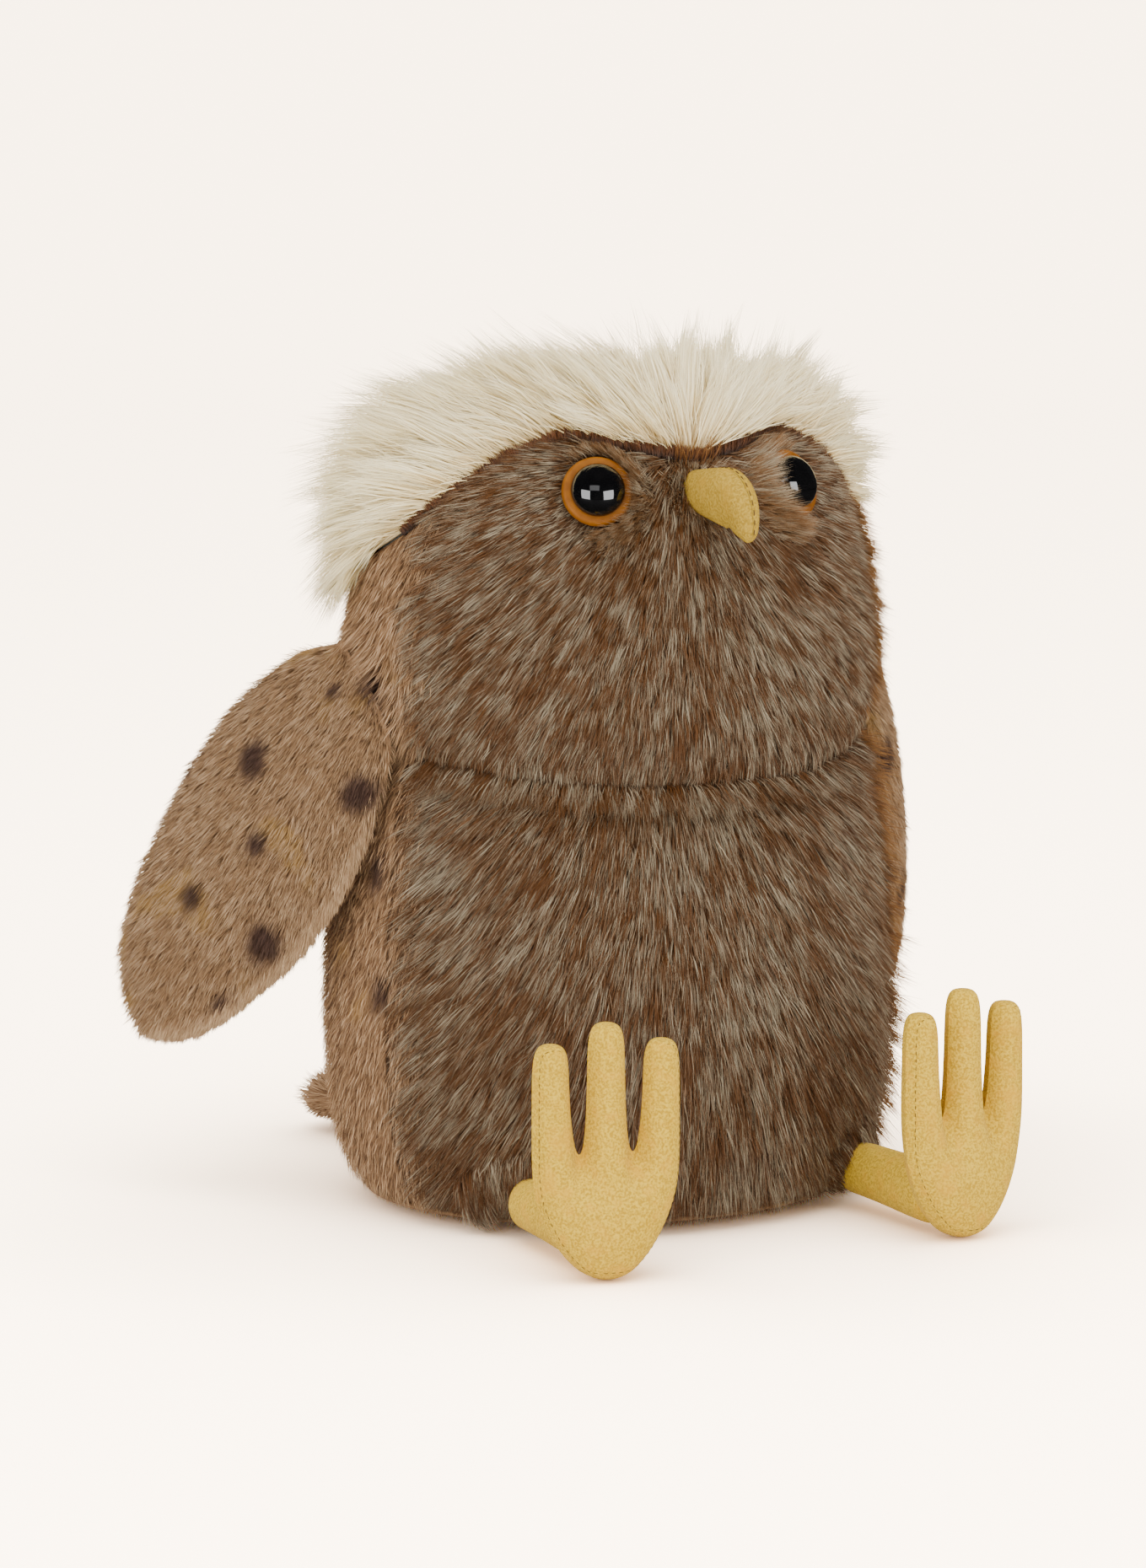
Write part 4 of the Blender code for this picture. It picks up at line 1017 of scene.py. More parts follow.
BROWN_COLOURS = dict(root=(53, 31, 11), body=(96, 58, 20), tip=(147, 134, 111), patch=(85, 49, 15),
                     frost=(0.34, 0.74), tip_from=0.08, patch_from=0.60)
# Painted light: these tan colours are painted lighter against the shade on the trunk's sides and the nape,
# and the tail shares them; the wing's pile is the same cloth painted darker.
LIGHTENED_TAN_COLOURS = dict(root=(103, 73, 47), body=(158, 122, 86), tip=(192, 158, 122), patch=(166, 128, 79),
                   frost=(0.25, 0.75), tip_from=0.25, patch_from=0.62)
FINISHES = {finish.name: finish for finish in (
    FurFinish("brown_fur", Slot.BROWN, 0.62, 0.35, **BROWN_COLOURS),
    FurFinish("brown_cloth", Slot.BROWN, 0.9, cloth=True, **BROWN_COLOURS),
    # bridge_fur: the brown pile painted lighter, as painted light against the shade among its standing
    # fibres.
    FurFinish("bridge_fur", Slot.BROWN, 0.62, 0.35, root=(112, 78, 42), body=(132, 94, 56),
              tip=(172, 156, 130), patch=(118, 80, 42), frost=(0.3, 0.8), tip_from=0.08),
    FurFinish("ochre_fur", Slot.BROWN, 0.6, root=(79, 45, 15), body=(122, 77, 26), tip=(146, 102, 45),
              patch=(95, 57, 18)),
    FurFinish("dark_fur", Slot.BROWN, 0.6, root=(52, 29, 11), body=(86, 48, 16), tip=(116, 68, 26),
              patch=(70, 40, 14)),
    FurFinish("tan_fur", Slot.TAN, 0.68, 0.3, **LIGHTENED_TAN_COLOURS),
    FurFinish("tan_cloth", Slot.TAN, 0.9, cloth=True, **LIGHTENED_TAN_COLOURS),
    # The wing's pile: the tan colours painted darker, as painted shade, since the wings stand in more light
    # than the sides.
    FurFinish("darkened_wing_fur", Slot.TAN, 0.68, 0.3, root=(91, 65, 41), body=(141, 109, 76), tip=(171, 141, 108),
              patch=(151, 116, 65), frost=(0.25, 0.75), tip_from=0.25, patch_from=0.58),
    FurFinish("pale_fur", Slot.TAN, 0.68, 0.3, root=(128, 97, 66), body=(172, 139, 104),
              tip=(192, 161, 124), patch=(168, 134, 92)),
    # The ivory pile's root colour is partly its own cream base and partly painted shade for depth among the
    # locks.
    FurFinish("ivory_fur", Slot.IVORY, 0.5, 0.4, root=(240, 214, 158), body=(253, 234, 184),
              tip=(255, 243, 202), patch=(250, 224, 160), frost=(0.0, 0.4), tip_from=0.3, patch_from=0.62),
    FurFinish("ivory_cloth", Slot.IVORY, 0.9, cloth=True, root=(232, 208, 156), body=(236, 216, 170),
              tip=(236, 216, 170), patch=(228, 204, 150)),
    SuedeFinish("yellow_suede_nap", Slot.SUEDE, 0.95, 0.1, sheen=0.05),
    # The beak's suede: the yellow suede painted darker, as painted shade under the head.
    SuedeFinish("shaded_beak_suede_nap", Slot.SUEDE, 0.95, 0.1, light=(178, 147, 58), dark=(148, 118, 38),
                worn=(172, 134, 44)),
    WeaveFinish("seam_thread", Slot.SUEDE, thread=(96, 70, 26), gap=(62, 44, 16), pitch=0.3 * MM),
    PlasticFinish("amber_satin", Slot.AMBER, 0.45, 0.25, colour=(130, 76, 0), mark=(116, 65, 0)),
    PlasticFinish("black_gloss", Slot.BLACK, 0.04, 1.0, coat=1.0, bump_depth=0.001 * MM, colour=(7, 7, 8),
                  mark=(4, 4, 5)),
    PlasticFinish("washer_white", Slot.WASHER, 0.5, colour=(226, 226, 222), mark=(214, 214, 208)),
    WeaveFinish("pellet_lining", Slot.PELLETS),
    SuedeFinish("fibre_filling", Slot.FILLING, 1.0, light=(240, 240, 236), dark=(214, 214, 208),
                worn=(228, 228, 222), grain=1.6 * MM),
)}


# Trunk


def scattered_spots(form: Form, end: float, low: float, high: float, known: Rows, seed: int,
                    pitch: float = 25.0 * MM) -> Spots:
    """Spots on a form behind the side seam: the known ones, and others on a loose grid away from them.

    Args:
        form: The form.
        end: Last azimuth, in degrees.
        low: Lowest outline share.
        high: Highest outline share.
        known: Azimuth in degrees, outline share and size of spots that the photograph shows.
        seed: Seed of the random moves.
        pitch: Space between the spots.

    Returns:
        The spots.
    """
    rng = np.random.default_rng(seed)
    end = math.radians(end)
    columns = max(int((end - SIDE_SEAM) * form.half_width * 0.95 / pitch), 1)
    rows = max(int((high - low) * form.length / pitch), 1)
    row = np.arange(rows)[:, None]
    u = (np.arange(columns)[None, :] + 0.5 * (row % 2) + rng.uniform(0.2, 0.8, (rows, columns))) / columns
    v = (row + rng.uniform(0.25, 0.75, (rows, columns))) / rows
    loose = form.skin(mix(SIDE_SEAM, end, u.ravel()), mix(low, high, v.ravel()))
    angles, shares, sizes = np.array(known).T
    seen = form.skin(np.radians(angles), shares)
    loose = loose[np.linalg.norm(loose[:, None] - seen[None], axis=-1).min(1) > 0.75 * pitch]
    return Spots(np.vstack([seen, loose]), np.concatenate([sizes, rng.uniform(0.6, 1.2, len(loose))]))


def grow_edging(name: str, form: Form, top: Edge, coat: Coat, finish: Material) -> None:
    """Ochre fibres that stand along the brown panel's side seam, on the owl's left."""
    sheet = Sheet.on(form, (FUR_SEAM * 0.88, FUR_SEAM * 1.02), (0.0, top), (13, 90), 2.4 * MM * 0.7)
    length = 0.6 + 0.4 * ease(0.0, 0.12, sheet.along)
    density = np.sin(np.linspace(0.05, math.pi - 0.05, 13))[None] ** 1.5
    cover(name, sheet.patch(sheet.lie(-1.0, 0.9), length, density=density), coat, finish)


def lay_tan_panel(name: str, node: str, form: Form, top: Edge, size: tuple[int, int], depth: float,
                  spots: Spots, finish: Material) -> tuple[Sheet, Array]:
    """Lay a spotted cloth round a form's back, from side seam to side seam.

    Args:
        name: Name of the cloth's piece.
        node: CAD node that it replaces.
        form: The form.
        top: Upper edge.
        size: Columns and rows of the cloth.
        depth: Depth under the form's surface.
        spots: The spots.
        finish: Material.

    Returns:
        A sheet for the pile, which goes further forward, and the spots' mask on it.
    """
    columns, rows = size
    cloth, pile = (Sheet.on(form, (start, FULL_TURN - start), (0.0, top), (count, rows), depth)
                   for start, count in ((SIDE_SEAM, columns), (TAN_START, columns + 20)))
    lay_cloth(name, cloth.points, finish, node, mask=spots.mask(cloth.points, UP))
    return pile, spots.mask(pile.points, UP)


@dataclass
class Trunk:
    """Body: brown belly, spotted tan back and flat base."""

    looks: Looks
    root_depth: float = 2.4 * MM
    belly: Coat = Coat(44000, 10.5 * MM, 0.21 * MM, (64.0, 80.0), 1.7 * MM, 0.30, 8.0, 8.0, 11, uneven=0.25)
    edging: Coat = Coat(6000, 12.0 * MM, 0.18 * MM, (38.0, 62.0), 1.5 * MM, 0.35, 12.0, 12.0, 13, uneven=0.4)
    back: Coat = Coat(46000, 5.6 * MM, 0.23 * MM, (54.0, 77.0), 2.1 * MM, 0.26, 9.0, 8.0, 12)
    spots: Rows = ((-77.0, 0.492, 1.15), (-97.0, 0.292, 0.5), (-80.0, 0.74, 1.2))

    def build_belly(self) -> None:
        """Brown front panel, whose pile runs down and out to the side seams."""
        sheet = Sheet.on(BODY, (-SIDE_SEAM, SIDE_SEAM), (0.0, 1.0), (121, 91), self.root_depth)
        lay_cloth("belly_cloth", sheet.points, self.looks["brown_cloth"], "belly_panel")
        hem = 0.4 + 0.6 * ease(0.0, 0.12, sheet.along)
        patch = sheet.patch(sheet.lie(-1.0, sheet.azimuth / SIDE_SEAM), hem,
                            density=brown_share(sheet.azimuth, sheet.along))
        cover_halves("belly_fur", patch, self.belly, self.looks["brown_fur"])
        grow_edging("belly_edging", BODY, 1.0, self.edging, self.looks["ochre_fur"])

    def build_back(self) -> None:
        """Spotted tan panel round the sides and the back."""
        spots = scattered_spots(BODY, 242.0, 0.03, 0.9, self.spots, 21)
        sheet, mask = lay_tan_panel("back_cloth", "body_back_panel", BODY, 1.0, (161, 91),
                                    self.root_depth * 0.75, spots, self.looks["tan_cloth"])
        hem = 0.6 + 0.4 * ease(0.0, 0.06, sheet.along)
        density = 1.0 - brown_share(sheet.azimuth, sheet.along)
        cover("back_fur", sheet.patch(sheet.lie(-1.0), hem, mask, density), self.back, self.looks["tan_fur"])

    def build_base(self) -> None:
        """Flat tan base: a disc drawn to the rim of the body."""
        turn, reach = disc_grid(61)
        points = BODY.point(turn, np.zeros_like(turn), 1.2 * MM) * reach[..., None]
        points[..., 2] = 1.6 * MM + 0.9 * MM * (reach ** 8)
        lay_cloth("base_cloth", points, self.looks["tan_cloth"], "base_panel", every=1)

    def build(self) -> None:
        """Build the trunk's panels."""
        self.build_belly()
        self.build_back()
        self.build_base()


# Head


def eye_and_beak_gaps(points: Array) -> tuple[Array, Array]:
    """Distances of points from the nearer eye and from the beak's root."""
    eyes = np.linalg.norm(points[..., None, :] - EYE_SEATS, axis=-1).min(-1)
    return eyes, np.linalg.norm(points - BEAK_SEAT, axis=-1)


@dataclass
class Head:
    """Head: brown face, tan nape, white crown, with the seams' fringes."""

    looks: Looks
    root_depth: float = 2.2 * MM
    face: Coat = Coat(37000, 8.5 * MM, 0.21 * MM, (62.0, 78.0), 1.7 * MM, 0.30, 8.0, 8.0, 31, uneven=0.25)
    nape: Coat = Coat(29000, 5.6 * MM, 0.23 * MM, (54.0, 77.0), 2.1 * MM, 0.26, 9.0, 8.0, 32)
    crown: Coat = Coat(29000, 29.0 * MM, 0.24 * MM, (38.0, 66.0), 4.6 * MM, 0.66, 5.0, 17.0, 33,
                       (0.0, 0.3, 0.62), 0.04, 6.5, 0.28)
    down: Coat = Coat(20000, 17.0 * MM, 0.30 * MM, (38.0, 74.0), 2.6 * MM, 0.12, 14.0, 12.0, 39)
    plumes: Coat = Coat(3200, 35.0 * MM, 0.18 * MM, (39.0, 63.0), 6.5 * MM, 0.90, 4.0, 20.0, 40,
                        (0.0, 0.3, 0.62), 0.04, 5.0, 0.20)
    brow: Coat = Coat(6000, 3.6 * MM, 0.22 * MM, (40.0, 70.0), 1.8 * MM, 0.3, 14.0, 12.0, 34)
    bridge: Coat = Coat(11000, 10.4 * MM, 0.19 * MM, (12.0, 48.0), 1.7 * MM, 0.30, 14.0, 12.0, 37,
                        lock_lift=4.0)
    collar: Coat = Coat(9000, 10.0 * MM, 0.21 * MM, (58.0, 86.0), 1.8 * MM, 0.25, 10.0, 9.0, 38)
    edging: Coat = Coat(5500, 9.5 * MM, 0.18 * MM, (40.0, 62.0), 1.3 * MM, 0.18, 12.0, 12.0, 35, uneven=0.3)
    wisps: Coat = Coat(70, 9.0 * MM, 0.18 * MM, (24.0, 60.0), 1.8 * MM, 0.3, 16.0, 16.0, 36)
    spots: Rows = ((-80.0, 0.11, 1.25), (-84.0, 0.03, 1.2), (-112.0, 0.12, 0.8))
    seam_edge: Edge = brow_edge(-0.5 * MM)
    bridge_end: float = math.radians(42.0)
    parting: tuple[float, float, float] = (0.0, -50.0 * MM, 199.0 * MM)

    def build_face(self) -> None:
        """Brown face, whose pile runs out from the beak and lies lower below it."""
        sheet = Sheet.on(HEAD, (-SIDE_SEAM, SIDE_SEAM), (0.0, self.seam_edge), (121, 91), self.root_depth)
        lay_cloth("face_cloth", sheet.points, self.looks["brown_cloth"], "face_panel")
        flow = sheet.points - BEAK_SEAT + np.array([0.0, 0.0, -16.0 * MM])
        eyes, beak = eye_and_beak_gaps(sheet.points)
        short = 0.5 + 0.5 * ease(9.0 * MM, 17.0 * MM, eyes)
        bare = (eyes < 8.6 * MM) | (beak < 3.5 * MM)
        density = np.where(bare, 0.0, brown_share(sheet.azimuth, sheet.along))
        patch = sheet.patch(flow, short, density=density)
        cover_halves("face_fur", patch, self.face, self.looks["brown_fur"])
        self.build_bridge()
        self.build_collar()
        grow_edging("face_edging", HEAD, brow_edge(-3.0 * MM), self.edging, self.looks["ochre_fur"])

    def build_bridge(self) -> None:
        """Fuzzy pile between the eyes, which stands up round them and round the beak's root."""
        sheet = Sheet.on(HEAD, (-self.bridge_end, self.bridge_end), (HEAD.along(0.50), brow_edge(-1.0 * MM)),
                         (121, 61), self.root_depth)
        points = sheet.points
        eyes, beak = eye_and_beak_gaps(points)
        nearer = EYE_SEATS[(points[..., 0] > 0.0).astype(int)]
        inner = ease(-5.0 * MM, 4.0 * MM, np.abs(nearer[..., 0]) - np.abs(points[..., 0]))
        near_eye, near_beak = ease(17.0 * MM, 11.0 * MM, eyes) * inner, ease(13.0 * MM, 6.0 * MM, beak)
        bare = (beak < 5.0 * MM) | (eyes < 9.9 * MM)
        density = np.where(bare, 0.0, np.maximum(near_eye, 0.5 * near_beak))
        below_brow = brow_along(sheet.azimuth) * HEAD.length - sheet.along * HEAD.length
        length = (0.42 + 0.58 * inner) * (0.5 + 0.5 * ease(16.0 * MM, 10.5 * MM, eyes))
        length = length * (0.4 + 0.6 * ease(0.0, 9.0 * MM, below_brow))
        flow = points - BEAK_SEAT - np.array([0.0, 0.0, 3.0 * MM])
        # The bridge's finish is the face's brown pile painted lighter, against the shade among the standing
        # fibres.
        cover("bridge_fur", sheet.patch(flow, length, density=density), self.bridge, self.looks["bridge_fur"])

    def build_collar(self) -> None:
        """Pile on both sides of the neck's crease, which falls over it."""
        shoulder = replace(self.collar, seed=self.collar.seed + 1, lean=(42.0, 77.0))
        for name, form, edges, depth, coat in (("collar_fur", HEAD, (0.0, 0.045), 1.2 * MM, self.collar),
                                               ("shoulder_fur", BODY, (0.965, 1.0), 1.4 * MM, shoulder)):
            sheet = Sheet.on(form, (-FUR_SEAM, FUR_SEAM), edges, (121, 5), depth)
            flow = sheet.lie(-1.0, 0.3 * np.sin(sheet.azimuth))
            cover(name, sheet.patch(flow), coat, self.looks["brown_fur"])

    def build_brow(self) -> None:
        """Dark line of short fibres along the brow seam, and ginger wisps over the beak."""
        depth = self.root_depth * 0.5
        edges = (brow_edge(-1.6 * MM), brow_edge(0.2 * MM))
        sheet = Sheet.on(HEAD, (-SIDE_SEAM, SIDE_SEAM), edges, (200, 4), depth)
        patch = sheet.patch(sheet.lie(1.0, 0.8 * np.sin(sheet.azimuth)))
        cover("brow_fringe", patch, self.brow, self.looks["dark_fur"])
        sheet = Sheet.on(HEAD, (-0.10, 0.10), (brow_edge(-4.0 * MM), brow_edge(0.5 * MM)), (12, 6), depth)
        patch = sheet.patch(sheet.lie(1.0, sheet.azimuth * 4.0))
        cover("brow_wisps", patch, self.wisps, self.looks["ochre_fur"])

    def build_nape(self) -> None:
        """Spotted tan panel round the back of the head, whose pile falls over the wings' roots."""
        spots = scattered_spots(HEAD, 238.0, 0.05, 0.34, self.spots, 22)
        sheet, mask = lay_tan_panel("nape_cloth", "head_back_panel", HEAD, self.seam_edge, (141, 61),
                                    self.root_depth * 0.8, spots, self.looks["tan_cloth"])
        top, foot = HEAD.spot(*WING_TOP), BODY.spot(*WING_FOOT)
        mirror = np.where(sheet.points[..., :1] < 0.0, Side.RIGHT.mirror, 1.0)
        folded = sheet.points * mirror
        share = np.clip(((folded - foot) @ (top - foot)) / ((top - foot) @ (top - foot)), 0.0, 1.0)[..., None]
        toward = mix(foot, top, share) - folded
        near = ease(13.0 * MM, 5.0 * MM, np.linalg.norm(toward, axis=-1))
        flow = sheet.lie(-1.0) + unit(toward) * mirror * (0.8 * near)[..., None]
        density = 1.0 - brown_share(sheet.azimuth, sheet.along)
        patch = sheet.patch(flow, 1.0 + 0.8 * near, mask, density, np.radians(-20.0 * near))
        cover("nape_fur", patch, self.nape, self.looks["tan_fur"])

    def build_crown(self) -> None:
        """White crown: long locks that run out from over the beak, on a rounded cloth."""
        turn, reach = disc_grid(121)
        along = mix(1.0, brow_along(turn, 0.7 * MM), reach)
        points, normals = HEAD.point(turn, along, 1.4 * MM), HEAD.normal(turn, along)
        lay_cloth("crown_cloth", points, self.looks["ivory_cloth"], "crown_panel")
        behind = np.abs(turn)
        low = ease(math.radians(70.0), math.radians(100.0), behind) * ease(0.6, 0.95, reach)
        hem = ease(math.radians(72.0), math.radians(96.0), behind) * ease(0.84, 0.96, reach)
        flow = unit(points - np.array(self.parting)) + UP * (0.25 - 0.65 * low - 0.9 * hem)[..., None]
        length = (0.70 + 0.30 * ease(0.97, 0.65, reach)) * (1.0 - 0.22 * low + 0.22 * hem)
        length = length * (0.64 + 0.36 * ease(0.2, 0.7, reach))
        lean = np.radians(5.0 * ease(0.7, 0.3, reach) - 18.0 * low * (1.0 - hem) + 14.0 * hem)
        half = (turn.shape[1] + 1) // 2
        for side, part in ((Side.RIGHT, slice(0, half)), (Side.LEFT, slice(half - 1, None))):
            patch = Patch.make(points[:, part], normals[:, part], flow[:, part], length[:, part],
                               lean=lean[:, part])
            for word, coat in (("fur", self.crown), ("down", self.down), ("plumes", self.plumes)):
                cover(f"crown_{word}_{side.word}", patch, coat.on(side), self.looks["ivory_fur"])

    def build(self) -> None:
        """Build the head's panels and fringes."""
        self.build_face()
        self.build_brow()
        self.build_nape()
        self.build_crown()


@dataclass
class Eye:
    """Safety eye: a satin amber ring under a glossy black dome with its shank."""

    side: Side
    looks: Looks
    steps: int = 72
    iris_radius: float = 9.2 * MM
    iris_thickness: float = 1.8 * MM
    lip: float = 0.7 * MM
    bore: float = 2.3 * MM
    low: float = 0.3 * MM
    pupil_radius: float = 7.0 * MM
    pupil_height: float = 4.4 * MM
    shank_radius: float = 2.0 * MM
    shank_end: float = -9.0 * MM

    def matrix(self) -> Array:
        """Place of the eye, with Z out of the face."""
        azimuth, along = np.array(self.side.sign * math.radians(EYE_PLACE[0])), EYE_PLACE[1]
        turn = Vector(HEAD.normal(azimuth, along)).to_track_quat("Z", "Y").to_matrix().to_4x4()
        return np.array(Matrix.Translation(Vector(HEAD.skin(azimuth, along))) @ turn)

    def turned(self, name: str, radii: Array, heights: Array, finish: Material, caps: bool) -> Piece:
        """Turn a profile of radii and heights about the eye's axis."""
        angle = np.linspace(0.0, FULL_TURN, self.steps, endpoint=False)
        x, y = radii[:, None] * np.cos(angle), radii[:, None] * np.sin(angle)
        local = np.stack(np.broadcast_arrays(x, y, heights[:, None], 1.0), -1)
        points = (local @ self.matrix().T)[..., :3]
        return grid_piece(f"{self.side.word}_{name}", points, finish, around=True, caps=(caps, caps))

    def build(self) -> None:
        """Build the ring and the dome."""
        word, low = self.side.word, self.low
        high = low + self.iris_thickness
        fall = np.linspace(0.0, math.pi / 2.0, 14)
        rim = self.iris_radius - self.lip * 1.6 + self.lip * 1.6 * np.sin(fall)
        radii = np.concatenate([[self.bore, self.pupil_radius + 0.1 * MM], rim,
                                [self.iris_radius - 0.5 * MM, self.bore, self.bore]])
        edge = high - (high - low - 0.5 * MM) * (1.0 - np.cos(fall))
        heights = np.concatenate([[high, high], edge, [low, low, high]])
        ring = self.turned("iris", radii, heights, self.looks["amber_satin"], False)
        settle(ring, node=f"{word}_iris_ring")
        base = high + 0.15 * MM
        fall = np.linspace(0.03, math.pi / 2.0, 30)
        radii = np.concatenate([self.pupil_radius * np.sin(fall),
                                [self.pupil_radius * 0.93, self.shank_radius, self.shank_radius, 0.4 * MM]])
        heights = np.concatenate([base + self.pupil_height * np.cos(fall),
                                  [base - 0.1 * MM, base - 0.1 * MM, self.shank_end, self.shank_end]])
        dome = self.turned("pupil", radii, heights, self.looks["black_gloss"], True)
        settle(dome, node=f"{word}_eye_dome")


@dataclass
class Beak:
    """Hooked beak of two suede sides, sewn along the ridge."""

    looks: Looks
    overrun: float = 6.0 * MM
    shaft: float = 11.0 * MM
    hook: float = 20.0 * MM
    radius: float = 6.2 * MM
    throat_share: float = 0.93
    start_pitch: float = math.radians(8.0)
    end_pitch: float = math.radians(-102.0)
    width_share: float = 0.86
    girth: Curve = Curve(((0.0, 0.34), (0.12, 0.50), (0.30, 0.70), (0.50, 0.86), (0.70, 0.96), (1.0, 1.0)))
    blunt_share: float = 0.42
    tip: float = 3.0 * MM
    stitch_length: float = 1.15 * MM
    stitch_pitch: float = 1.9 * MM

    @property
    def total(self) -> float:
        """Length of the middle line."""
        return self.overrun + self.shaft + self.hook

    def spine(self, distance: Array) -> tuple[Array, Array]:
        """Middle line: straight out of the face, then an arc that hooks down.

        Args:
            distance: Lengths along the line from the root inside the face.

        Returns:
            Points and directions.
        """
        root = HEAD.spot(0.0, BEAK_ALONG, self.overrun)
        straight = self.overrun + self.shaft
        bend = self.hook / (self.start_pitch - self.end_pitch)
        pitch = mix(self.start_pitch, self.end_pitch, np.maximum(distance - straight, 0.0) / self.hook)
        nought = np.zeros_like(pitch)
        first = np.array([0.0, -math.cos(self.start_pitch), math.sin(self.start_pitch)])
        middle = root + first * np.minimum(distance, straight)[:, None]
        ahead = bend * (math.sin(self.start_pitch) - np.sin(pitch))
        rise = bend * (np.cos(pitch) - math.cos(self.start_pitch))
        middle = middle + np.stack([nought, -ahead, rise], -1)
        return middle, np.stack([nought, -np.cos(pitch), np.sin(pitch)], -1)

    def ring(self, distance: Array, turn: Array, swell: float = 0.0) -> Array:
        """Points round the middle line, pinched where the two sides are sewn, and fuller inside the bend."""
        middle, way = self.spine(distance)
        left = self.total - distance
        near_tip = np.clip(left / (self.shaft + self.hook), 0.0, 1.0)
        short = 1.0 - np.clip(left / (self.radius * self.blunt_share), 0.0, 1.0)
        blunt = np.sqrt(np.clip(1.0 - short ** 2, 0.0, 1.0))
        radius = (self.radius * self.girth.at(near_tip) + swell) * blunt
        over = np.cross(way, ACROSS)
        seam = np.minimum(np.abs(np.sin(turn / 2.0)), np.abs(np.cos(turn / 2.0))) * 2.0
        pinch = 1.0 - 0.07 * np.exp(-(seam / 0.16) ** 2)
        full = 1.0 + (self.throat(middle, over, radius) - 1.0)[:, None] * (np.cos(turn) < 0.0)
        reach = radius[:, None] * pinch[None]
        x = (reach * self.width_share * np.sin(turn))[..., None] * ACROSS
        return middle[:, None] + x + over[:, None] * (reach * full * np.cos(turn))[..., None]

    def throat(self, middle: Array, over: Array, radius: Array) -> Array:
        """Fullness under the middle line: out to the straight line from the root's underside to the tip.

        Args:
            middle: Points of the middle line.
            over: Directions from the middle line towards the ridge.
            radius: Half height of the beak at each point.

        Returns:
            How many times the radius the underside reaches, at least 1.
        """
        ends, ways = self.spine(np.array([self.overrun, self.total]))
        start = ends[0] - np.cross(ways[0], ACROSS) * self.radius
        square = np.cross(unit(ends[1] - start), ACROSS)
        gap = ((middle - start) @ square) / np.maximum(over @ square, 0.25)
        return np.clip(self.throat_share * gap / np.maximum(radius, 1e-6), 1.0, 2.2)

    def build(self) -> None:
        """Build the two sides and the stitches of the ridge."""
        shaft = np.linspace(2.0 * MM, self.total - self.tip, 40)
        tip = self.total - self.tip * (1.0 - np.sin(np.linspace(0.1, math.pi / 2.0, 14)))
        distance = np.minimum(np.concatenate([shaft, tip]), self.total - 0.01 * MM)
        # Both sides take the suede painted darker, for the head's shade over the beak.
        for side in Side:
            turn = np.linspace(0.012, math.pi - 0.012, 40) * side.sign
            points = self.ring(distance, turn)
            piece = grid_piece(f"beak_{side.word}_suede", points, self.looks["shaded_beak_suede_nap"])
            settle(wall(piece, 0.9 * MM), node=f"beak_{side.word}_panel")
        places = np.arange(self.overrun + 5.0 * MM, self.total - 2.5 * MM, self.stitch_pitch)
        start, end = (self.ring(places + shift, np.full(1, 0.11), 0.12 * MM)[:, 0]
                      for shift in (0.0, self.stitch_length))
        settle(stitch_piece("beak_stitches", start, end, 0.16 * MM, self.looks["seam_thread"]))


def stitch_piece(name: str, starts: Array, ends: Array, radius: float, finish: Material) -> Piece:
    """Row of stitches: each a six-sided grain with pointed ends between two points.

    Args:
        name: Name of the piece.
        starts: First points.
        ends: Last points.
        radius: Half thickness of the thread.
        finish: Material.

    Returns:
        The object.
    """
    way = unit(ends - starts)
    aside = unit(np.cross(way, np.where(np.abs(way[:, 2:]) > 0.9, ACROSS, UP)))
    over = np.cross(way, aside)
    shares = np.array([0.0, 0.18, 0.5, 0.82, 1.0])
    girths = np.array([0.3, 0.85, 1.0, 0.85, 0.3]) * radius
    angle = np.linspace(0.0, FULL_TURN, 6, endpoint=False)[:, None]
    ring = aside[:, None] * np.cos(angle) + over[:, None] * np.sin(angle)
    middle = starts[:, None] + (ends - starts)[:, None] * shares[:, None]
    points = middle[:, :, None] + ring[:, None] * girths[:, None, None]
    count, rows, columns = points.shape[:3]
    quads, _ = grid_faces(rows, columns, True)
    first, last = np.arange(columns)[::-1], (rows - 1) * columns + np.arange(columns)
    pattern = np.concatenate([quads.ravel(), first, last])
    loops = (np.arange(count)[:, None] * rows * columns + pattern).ravel()
    totals = np.tile(np.concatenate([np.full(len(quads), 4), [columns, columns]]), count)
    return lay_mesh(name, points.reshape(-1, 3), loops, totals, finish)


# Wings and tail


